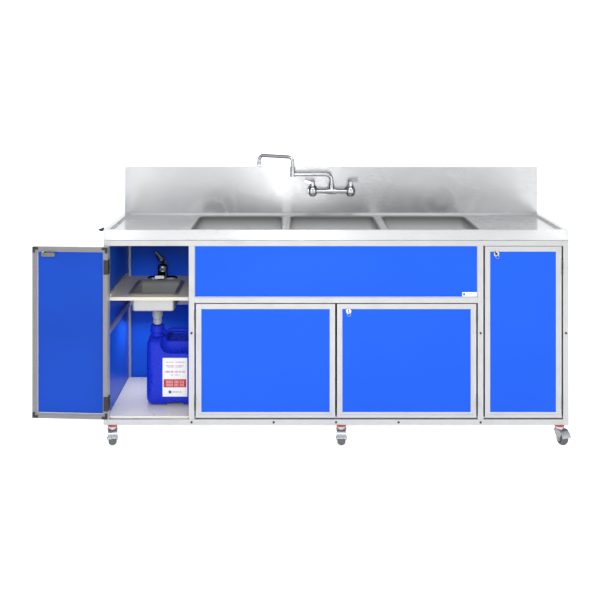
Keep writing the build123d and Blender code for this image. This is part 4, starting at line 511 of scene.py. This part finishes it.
def ring(centre, major, minor, axis="z", around=48, across=12):
    """Torus about the z or y axis through its centre."""
    torus = bmesh.new()
    rows = []
    for i in range(around):
        a = 2 * pi * i / around
        row = []
        for j in range(across):
            b = 2 * pi * j / across
            out = major + minor * cos(b)
            flat, up = (out * cos(a), out * sin(a)), minor * sin(b)
            spot = {"z": (*flat, up), "y": (flat[0], up, flat[1])}[axis]
            row.append(torus.verts.new(Vector(centre) + Vector(spot)))
        rows.append(row)
    for i, row in enumerate(rows):
        after = rows[(i + 1) % around]
        for j in range(across):
            k = (j + 1) % across
            torus.faces.new((row[j], after[j], after[k], row[k]))
    return torus


def tube_along(points, radius, around=16):
    """Round bar through a list of points, closed at both ends."""
    bar = bmesh.new()
    rows = []
    side = Vector((0, 1, 0))
    for i, point in enumerate(points):
        before, after = points[max(i - 1, 0)], points[min(i + 1, len(points) - 1)]
        along = (Vector(after) - Vector(before)).normalized()
        out = along.cross(side).normalized()
        up = along.cross(out)
        turns = [2 * pi * j / around for j in range(around)]
        rows.append([bar.verts.new(Vector(point) + radius * (cos(a) * out + sin(a) * up)) for a in turns])
    for near, far in zip(rows, rows[1:]):
        for j in range(around):
            k = (j + 1) % around
            bar.faces.new((near[j], near[k], far[k], far[j]))
    bar.faces.new(rows[0])
    bar.faces.new(rows[-1])
    return bar


def apply_modifier(obj, kind, **fields):
    """Adds a modifier, and bakes its result into the object's mesh."""
    modifier = obj.modifiers.new(kind.lower(), kind)
    for key, value in fields.items():
        setattr(modifier, key, value)
    depsgraph = bpy.context.evaluated_depsgraph_get()
    result = bpy.data.meshes.new_from_object(obj.evaluated_get(depsgraph))
    obj.modifiers.clear()
    obj.data = result


def loose_object(builder, name):
    """Object that isn't a piece yet."""
    obj = bpy.data.objects.new(name, mesh_from(builder, name))
    scene.collection.objects.link(obj)
    return obj


def carve(obj, builder, operation="DIFFERENCE"):
    """Cuts a shape out of obj, or joins it on."""
    tool = loose_object(builder, obj.name + "_tool")
    apply_modifier(obj, "BOOLEAN", operation=operation, object=tool, solver="EXACT")
    bpy.data.objects.remove(tool)


# ---------------------------------------------------------------- blow-moulded waste jug
def turned(radius_low, radius_high, middle, base, top):
    """Upright cone or cylinder between two heights."""
    solid = bmesh.new()
    bmesh.ops.create_cone(
        solid, cap_ends=True, segments=48, radius1=radius_low, radius2=radius_high, depth=top - base
    )
    bmesh.ops.translate(solid, vec=(*middle, (top + base) / 2), verts=solid.verts)
    return solid


SHOULDER_DROP = 52 * MM         # from the jug's mouth down to its shoulder
CLEAR = 50 * MM                 # cutters reach at least this far out of the jug


def jug_hollows(jug, low, high, shoulder):
    """Scoops in front of and behind the grip, finger gap under the handle, notch between the feet."""
    grip_left, grip_base = low[0] + 68 * MM, low[2] + 247 * MM
    depth, rounding = 44 * MM, 43 * MM
    front = (low[1] - 2 * CLEAR, low[1] + depth)
    back = (high[1] - depth, high[1] + 2 * CLEAR)
    for y_low, y_high in (front, back):
        carve(jug, rounded_block(
            (grip_left, y_low, grip_base), (high[0] + 80 * MM, y_high, shoulder + 2 * CLEAR), rounding, 8
        ))
    carve(jug, rounded_block(
        (low[0] + 92 * MM, low[1] - CLEAR, shoulder - 19 * MM),
        (high[0] - 20 * MM, high[1] + CLEAR, shoulder + CLEAR), 12 * MM,
    ))
    carve(jug, rounded_block(
        (low[0] + 96 * MM, low[1] - CLEAR, low[2] - 40 * MM),
        (low[0] + 174 * MM, high[1] + CLEAR, low[2] + 17 * MM), 8 * MM,
    ))


def jug_handle(jug, low, high, shoulder):
    """Loop handle: rises from beside the neck, runs level and drops at the right."""
    bar, bend = 11.5 * MM, 30 * MM
    middle_y = (low[1] + high[1]) / 2
    bar_z = shoulder + 15 * MM
    left_x, right_x = low[0] + 78 * MM, high[0] - 14 * MM
    quarter = [pi / 2 * i / 6 for i in range(7)]
    path = [(left_x - 4 * MM, middle_y, shoulder - 40 * MM)]
    path += [(left_x + bend * (1 - cos(a)), middle_y, bar_z - bend * (1 - sin(a))) for a in quarter]
    path += [(right_x - bend * (1 - sin(a)), middle_y, bar_z - bend * (1 - cos(a))) for a in quarter]
    path += [(right_x, middle_y, shoulder - 60 * MM)]
    carve(jug, tube_along(path, bar), "UNION")


def jug_neck(jug, neck, shoulder):
    """Flared root, stem, collar and lip; radii and heights from the shoulder in millimetres."""
    for radius_low, radius_high, base, top in (
        (44, 32, -14, 4), (31, 31, -20, 52), (35, 34, 20, 34), (34, 33, 42, 50),
    ):
        course = turned(radius_low * MM, radius_high * MM, neck, shoulder + base * MM, shoulder + top * MM)
        carve(jug, course, "UNION")


def jug_ribs(jug, low):
    """Diagonal grip ribs on the front face, left of the label."""
    rib, pitch, y = 3.0 * MM, 11 * MM, low[1] + 0.5 * MM
    for i in range(6):
        z = low[2] + 96 * MM + i * pitch
        ends = [(low[0] + 30 * MM, y, z + 14 * MM), (low[0] + 64 * MM, y, z - 8 * MM)]
        carve(jug, tube_along(ends, rib, 12), "UNION")


def waste_jug():
    """One continuous moulded skin: body, scooped grip, loop handle, collared neck, feet and ribs."""
    low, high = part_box("waste_jug")
    drain_low, drain_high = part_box("hand_drain")
    neck = ((drain_low[0] + drain_high[0]) / 2, (drain_low[1] + drain_high[1]) / 2)
    shoulder = high[2] - SHOULDER_DROP
    jug = loose_object(rounded_block(low, (high[0], high[1], shoulder), 34 * MM, 6), "waste_jug_skin")
    jug_hollows(jug, low, high, shoulder)
    jug_handle(jug, low, high, shoulder)
    jug_neck(jug, neck, shoulder)
    jug_ribs(jug, low)
    apply_modifier(jug, "REMESH", mode="VOXEL", voxel_size=2.6 * MM)
    apply_modifier(jug, "SMOOTH", factor=0.5, iterations=7)
    mouth, deep = 24 * MM, 30 * MM
    carve(jug, turned(mouth, mouth, neck, high[2] - deep, high[2] + deep))
    mesh = jug.data
    bpy.data.objects.remove(jug)
    piece = add_piece("waste_jug_skin", mesh, jug_plastic, "waste_jug")
    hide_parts("waste_jug")


waste_jug()


# ---------------------------------------------------------------- labels: bars and blocks, no lettering
def label_material(name, wide, high, low, marks):
    """Paper label: white stock with print blocks. A mark is x, z, half width, half height (parts of the
    label's width and height), colour, and whether it is broken up into words."""
    s = Shader(name, (0.86, 0.86, 0.87), 0.0, 0.34)
    where = s.node("ShaderNodeTexCoord")
    split = s.node("ShaderNodeSeparateXYZ")
    s.plug(where.outputs["Object"], split.inputs[0])
    across = s.math("DIVIDE", s.math("SUBTRACT", split.outputs["X"], low[0]), wide)
    up = s.math("DIVIDE", s.math("SUBTRACT", split.outputs["Z"], low[1]), high)

    def within(place, middle, half):
        return s.math("LESS_THAN", s.math("ABSOLUTE", s.math("SUBTRACT", place, middle), 0.0), half)

    for x, z, half_x, half_z, color, broken in marks:
        mask = s.math("MULTIPLY", within(across, x, half_x), within(up, z, half_z))
        if broken:
            words = s.noise(420.0, (1.0, 1.0, 0.02), 1.0, 0.5)
            mask = s.math("MULTIPLY", mask, s.spread(words, 0.0, 0.85, 0.44, 0.50))
        s.tint(mask, color)
    fibre = s.noise(900.0, EVEN, 3.0, 0.6)
    s.add_roughness(s.spread(fibre, -0.04, 0.06))
    s.bump(fibre, 0.06, 0.0002)
    return s.mat


def jug_label():
    """Label on the jug's front: rows of bars, a red block with pale bars in it, a square and a bar."""
    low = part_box("waste_jug")[0]
    x_low, wide = low[0] + 78 * MM, 115 * MM
    z_low, tall = low[2] + 46 * MM, 180 * MM
    red, grey, ink, pale = (0.55, 0.02, 0.02), (0.35, 0.12, 0.14), (0.03, 0.07, 0.30), (0.80, 0.60, 0.60)
    half_line = 0.010
    lines = ((0.89, 0.40), (0.80, 0.36), (0.765, 0.30), (0.655, 0.42), (0.63, 0.42), (0.56, 0.20))
    marks = [(0.5, z, half, half_line, grey, True) for z, half in lines]
    marks += [(0.5, 0.345, 0.46, 0.105, red, False)]
    marks += [(0.5, z, 0.36, half_line, pale, True) for z in (0.40, 0.36, 0.32, 0.28)]
    marks += [(0.30, 0.12, 0.055, 0.036, ink, False), (0.58, 0.12, 0.18, 0.016, grey, True)]
    paper_look = label_material("jug_label_print", wide, tall, (x_low, z_low), marks)
    thick = 0.5 * MM
    sheet = rounded_block(
        (x_low, low[1] - thick, z_low), (x_low + wide, low[1] + 2 * MM, z_low + tall), 0.2 * MM, 2
    )
    add_piece("jug_label", mesh_from(sheet, "jug_label"), paper_look, "waste_jug", False)


def maker_plate():
    """Small blank plate at the lower right corner of the fascia, with a plain square and two bars."""
    low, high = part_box("fascia_panel")
    wide, tall, inset = 66 * MM, 19 * MM, 3 * MM
    x_low, z_low = high[0] - wide - inset, low[2] + inset
    marks = (
        (0.13, 0.50, 0.075, 0.27, (0.02, 0.08, 0.45), False),
        (0.60, 0.62, 0.28, 0.10, (0.25, 0.26, 0.28), True),
        (0.60, 0.32, 0.28, 0.07, (0.35, 0.36, 0.38), True),
    )
    print_look = label_material("maker_plate_print", wide, tall, (x_low, z_low), marks)
    plate = rounded_block(
        (x_low, low[1] - 0.6 * MM, z_low), (x_low + wide, low[1] + 0.4 * MM, z_low + tall), 0.2 * MM, 2
    )
    add_piece("maker_plate", mesh_from(plate, "maker_plate"), print_look, "cabinet", False)


jug_label()
maker_plate()

# ---------------------------------------------------------------- vinyl glazing beads round the panels
vinyl = plastic("vinyl_bead", (0.62, 0.60, 0.55), 0.45, 300.0, 0.15, 0.85).mat
BEAD = 2.2 * MM


def bead_frame(builder, x_low, x_high, z_low, z_high, y, out, turn=None):
    """Bead just inside an upright rectangle at y, proud of it to the side out (-1 or 1)."""
    section = [(0.0, 0.0), (BEAD, 0.0), (BEAD * 0.75, BEAD * 0.55), (BEAD * 0.3, BEAD), (0.0, BEAD)]
    corners = [(x_low, z_low, 1, 1), (x_high, z_low, -1, 1), (x_high, z_high, -1, -1), (x_low, z_high, 1, -1)]
    rows = []
    for x, z, dx, dz in corners:
        row = []
        for inward, proud in section:
            spot = Vector((x + dx * inward, y + out * proud, z + dz * inward))
            row.append(builder.verts.new(turn(spot) if turn else spot))
        rows.append(row)
    for i, row in enumerate(rows):
        after = rows[(i + 1) % 4]
        for j in range(len(section)):
            k = (j + 1) % len(section)
            builder.faces.new((row[j], row[k], after[k], after[j]))


joints = {j["name"]: j for j in frame["joints"]}


def door_turn(door):
    """Maps a point from the closed door to where the door stands at rest."""
    joint = joints[door + "_door_swing"]
    pin = Vector(joint["pos_m"])
    low_limit = joint["range_deg"][0]
    turn = Matrix.Rotation(-radians(low_limit), 3, Vector(joint["axis"]))
    return lambda spot: pin + turn @ (spot - pin)


def door_beads():
    """Beads round both faces of each door's panel; the left doors mirror the right ones, closed."""
    mirrored = {
        "left": ("right", -1), "right": ("right", 1),
        "centre_left": ("centre_right", -1), "centre_right": ("centre_right", 1),
    }
    groove = 6 * MM
    for door, (source, side) in mirrored.items():
        low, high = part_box(source + "_door_panel")
        x_low, x_high = sorted((side * (low[0] + groove), side * (high[0] - groove)))
        strip = bmesh.new()
        for y, out in ((low[1], -1), (high[1], 1)):
            bead_frame(strip, x_low, x_high, low[2] + groove, high[2] - groove, y, out, door_turn(door))
        name = door + "_door_bead"
        add_piece(name, mesh_from(strip, name), vinyl, door + "_door", False)


def fascia_beads():
    """Beads round both faces of the fascia."""
    strip = bmesh.new()
    low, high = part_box("fascia_panel")
    for y, out in ((low[1], -1), (high[1], 1)):
        bead_frame(strip, low[0], high[0], low[2], high[2], y, out)
    add_piece("fascia_bead", mesh_from(strip, "fascia_bead"), vinyl, "cabinet", False)


door_beads()
fascia_beads()

# ---------------------------------------------------------------- small turned parts
def caster_seals():
    """Red ring round each caster's stem, just above the fork."""
    seal_red = plastic("seal_red", (0.62, 0.05, 0.015), 0.30, 200.0, 0.2, 0.7).mat
    for name in [n for n in frame["bodies"] if n.endswith("_caster")]:
        x, y, _ = joints[name + "_swivel"]["pos_m"]
        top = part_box(name + "_fork")[1][2]
        seal = mesh_from(ring((x, y, top + 3.8 * MM), 19.2 * MM, 3.3 * MM), name + "_seal")
        add_piece(name + "_seal", seal, seal_red, name)


def index_buttons():
    """Red and blue button on the hub of each valve lever."""
    index_red = plastic("index_red", (0.50, 0.02, 0.02), 0.25, 200.0, 0.1, 0.7).mat
    index_blue = plastic("index_blue", (0.02, 0.06, 0.45), 0.25, 200.0, 0.1, 0.7).mat
    hub_height, foot, crown, thick = 24.9 * MM, 6.5 * MM, 5.0 * MM, 2.4 * MM
    for name, look in (("hot_lever", index_red), ("cold_lever", index_blue)):
        x, y, _ = joints[name + "_turn"]["pos_m"]
        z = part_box(name)[0][2] + hub_height
        button = bmesh.new()
        bmesh.ops.create_cone(button, cap_ends=True, segments=32, radius1=foot, radius2=crown, depth=thick)
        bmesh.ops.translate(button, vec=(x, y, z), verts=button.verts)
        bmesh.ops.bevel(button, geom=button.edges[:], offset=0.4 * MM, segments=2, affect="EDGES")
        add_piece(name + "_button", mesh_from(button, name + "_button"), look, name)


def key_rings():
    """Split ring hanging from each key's bow."""
    bow_out, radius, wire = 29 * MM, 8.5 * MM, 0.8 * MM
    for name in ("left", "centre_right", "right"):
        joint = joints[name + "_lock_turn"]
        outward = Vector(joint["axis"]) * (-1 if name == "left" else 1)
        bow = Vector(joint["pos_m"]) + outward * bow_out
        hoop = ring((0, 0, 0), radius, wire, "y", 40, 10)
        turn = Vector((0, -1, 0)).rotation_difference(outward).to_matrix()
        for vert in hoop.verts:
            vert.co = bow + turn @ vert.co - Vector((0, 0, radius))
        add_piece(name + "_key_ring", mesh_from(hoop, name + "_key_ring"), zinc_plate, name + "_lock")


caster_seals()
index_buttons()
key_rings()


# ---------------------------------------------------------------- floor, lights and camera
FLOOR_Z = cad_bounds[0][2]
REACH = 9.0                     # the paper runs this far to the front and to both sides
WALL_Y, WALL_TOP = 4.6, 6.0
SWEEP_RADIUS, SWEEP_STEPS = 1.6, 14


def paper_look():
    """White to the camera, mid grey to the steel that mirrors it, and dim as a light on the object."""
    paper = plastic("studio_paper", (0.93, 0.93, 0.93), 0.6, 40.0, 0.02, 0.98)
    paper.set("Emission Color", (1.0, 1.0, 1.0))
    path = paper.node("ShaderNodeLightPath")
    to_steel = paper.spread(path.outputs["Is Glossy Ray"], 0.16, 0.36, 0.0, 1.0)
    to_camera = paper.spread(path.outputs["Is Camera Ray"], 0.0, 0.46, 0.0, 1.0)
    paper.set("Emission Strength", paper.math("ADD", to_steel, to_camera))
    return paper.mat


def studio_floor():
    """Paper floor that sweeps up into a wall behind the object."""
    profile = [(-REACH, FLOOR_Z), (WALL_Y - SWEEP_RADIUS, FLOOR_Z)]
    for i in range(1, SWEEP_STEPS + 1):
        a = pi / 2 * i / SWEEP_STEPS
        profile.append((WALL_Y - SWEEP_RADIUS * (1 - sin(a)), FLOOR_Z + SWEEP_RADIUS * (1 - cos(a))))
    profile.append((WALL_Y, WALL_TOP))
    sweep = bmesh.new()
    rows = [[sweep.verts.new((x, y, z)) for x in (-REACH, REACH)] for y, z in profile]
    for near, far in zip(rows, rows[1:]):
        sweep.faces.new((near[0], near[1], far[1], far[0]))
    mesh = bpy.data.meshes.new("studio_floor")
    sweep.to_mesh(mesh)
    for face in mesh.polygons:
        face.use_smooth = True
    mesh.materials.append(paper_look())
    floor = bpy.data.objects.new("studio_floor", mesh)
    scene.collection.objects.link(floor)


def studio_world():
    """Grey room, a little brighter low down, with soft upright bands for the steel to mirror."""
    world = bpy.data.worlds.new("studio")
    scene.world = world
    world.use_nodes = True
    tree, links = world.node_tree.nodes, world.node_tree.links

    def spread(source, low, high, start, end):
        made = tree.new("ShaderNodeMapRange")
        links.new(source, made.inputs["Value"])
        for name, value in (("From Min", start), ("From Max", end), ("To Min", low), ("To Max", high)):
            made.inputs[name].default_value = value
        return made.outputs[0]

    where = tree.new("ShaderNodeTexCoord").outputs["Generated"]
    split = tree.new("ShaderNodeSeparateXYZ")
    links.new(where, split.inputs[0])
    stretch = tree.new("ShaderNodeMapping")
    stretch.inputs["Scale"].default_value = (1.0, 1.0, 0.12)
    links.new(where, stretch.inputs["Vector"])
    bands = tree.new("ShaderNodeTexNoise")
    bands.inputs["Scale"].default_value = 7.0
    bands.inputs["Detail"].default_value = 1.0
    links.new(stretch.outputs[0], bands.inputs["Vector"])
    level = tree.new("ShaderNodeMath")
    level.operation = "MULTIPLY"
    links.new(spread(split.outputs["Z"], 0.74, 0.62, -0.1, 0.9), level.inputs[0])
    links.new(spread(bands.outputs[0], 0.70, 1.30, 0.35, 0.65), level.inputs[1])
    background = tree["Background"]
    background.inputs["Color"].default_value = (0.96, 0.98, 1.0, 1.0)
    links.new(level.outputs[0], background.inputs["Strength"])


def softbox(name, place, target, width, height, power, mirrored=True):
    """Area light that the camera never sees; steel mirrors it only if asked to."""
    light = bpy.data.lights.new(name, "AREA")
    light.shape = "RECTANGLE"
    light.size = width
    light.size_y = height
    light.energy = power
    lamp = bpy.data.objects.new(name, light)
    scene.collection.objects.link(lamp)
    lamp.location = place
    lamp.rotation_euler = (Vector(target) - Vector(place)).to_track_quat("-Z", "Y").to_euler()
    lamp.visible_camera = False
    lamp.visible_glossy = mirrored


studio_floor()
studio_world()
softbox("camera_side", (-0.3, -5.7, 2.3), (0, 0, 0.6), 2.2, 1.2, 165, mirrored=False)
softbox("bay_fill", (-0.92, 0.12, 0.385), (-0.90, 0.0, 0.0), 0.10, 0.30, 0.8, mirrored=False)
softbox("key_left", (-2.8, -3.4, 2.2), (0, 0, 0.5), 1.0, 1.6, 12)
softbox("fill_right", (3.0, -3.2, 2.0), (0.2, 0, 0.5), 1.0, 1.6, 10)
softbox("overhead", (0, -0.7, 3.2), (0, 0, 0.7), 3.0, 1.0, 22)
softbox("strip_middle", (-0.20, -6.4, 0.5), (-0.2, 0.3, 0.9), 0.30, 1.6, 9.0)
softbox("strip_left", (-1.5, -3.6, 0.8), (-0.9, 0.3, 0.95), 0.16, 1.6, 1.0)
softbox("strip_right", (1.78, -3.6, 0.8), (0.96, 0.3, 0.95), 0.16, 1.6, 1.0)

FRONT_Y = -0.347                # front face of the cabinet
CAMERA_X = -0.194
CAMERA_DISTANCE = 4.95
CAMERA_HEIGHT = 1.666


def front_camera():
    """Level camera a little left of the middle, its frame shifted down onto the object."""
    data = bpy.data.cameras.new("camera")
    data.lens = 66.0
    data.sensor_width = 36.0
    data.shift_x = 0.0117
    data.shift_y = -0.3767
    camera = bpy.data.objects.new("camera", data)
    scene.collection.objects.link(camera)
    camera.location = (CAMERA_X, FRONT_Y - CAMERA_DISTANCE, FLOOR_Z + CAMERA_HEIGHT)
    camera.rotation_euler = (radians(90), 0, 0)
    bpy.context.scene.camera = camera


front_camera()
scene.view_settings.view_transform = "Standard"
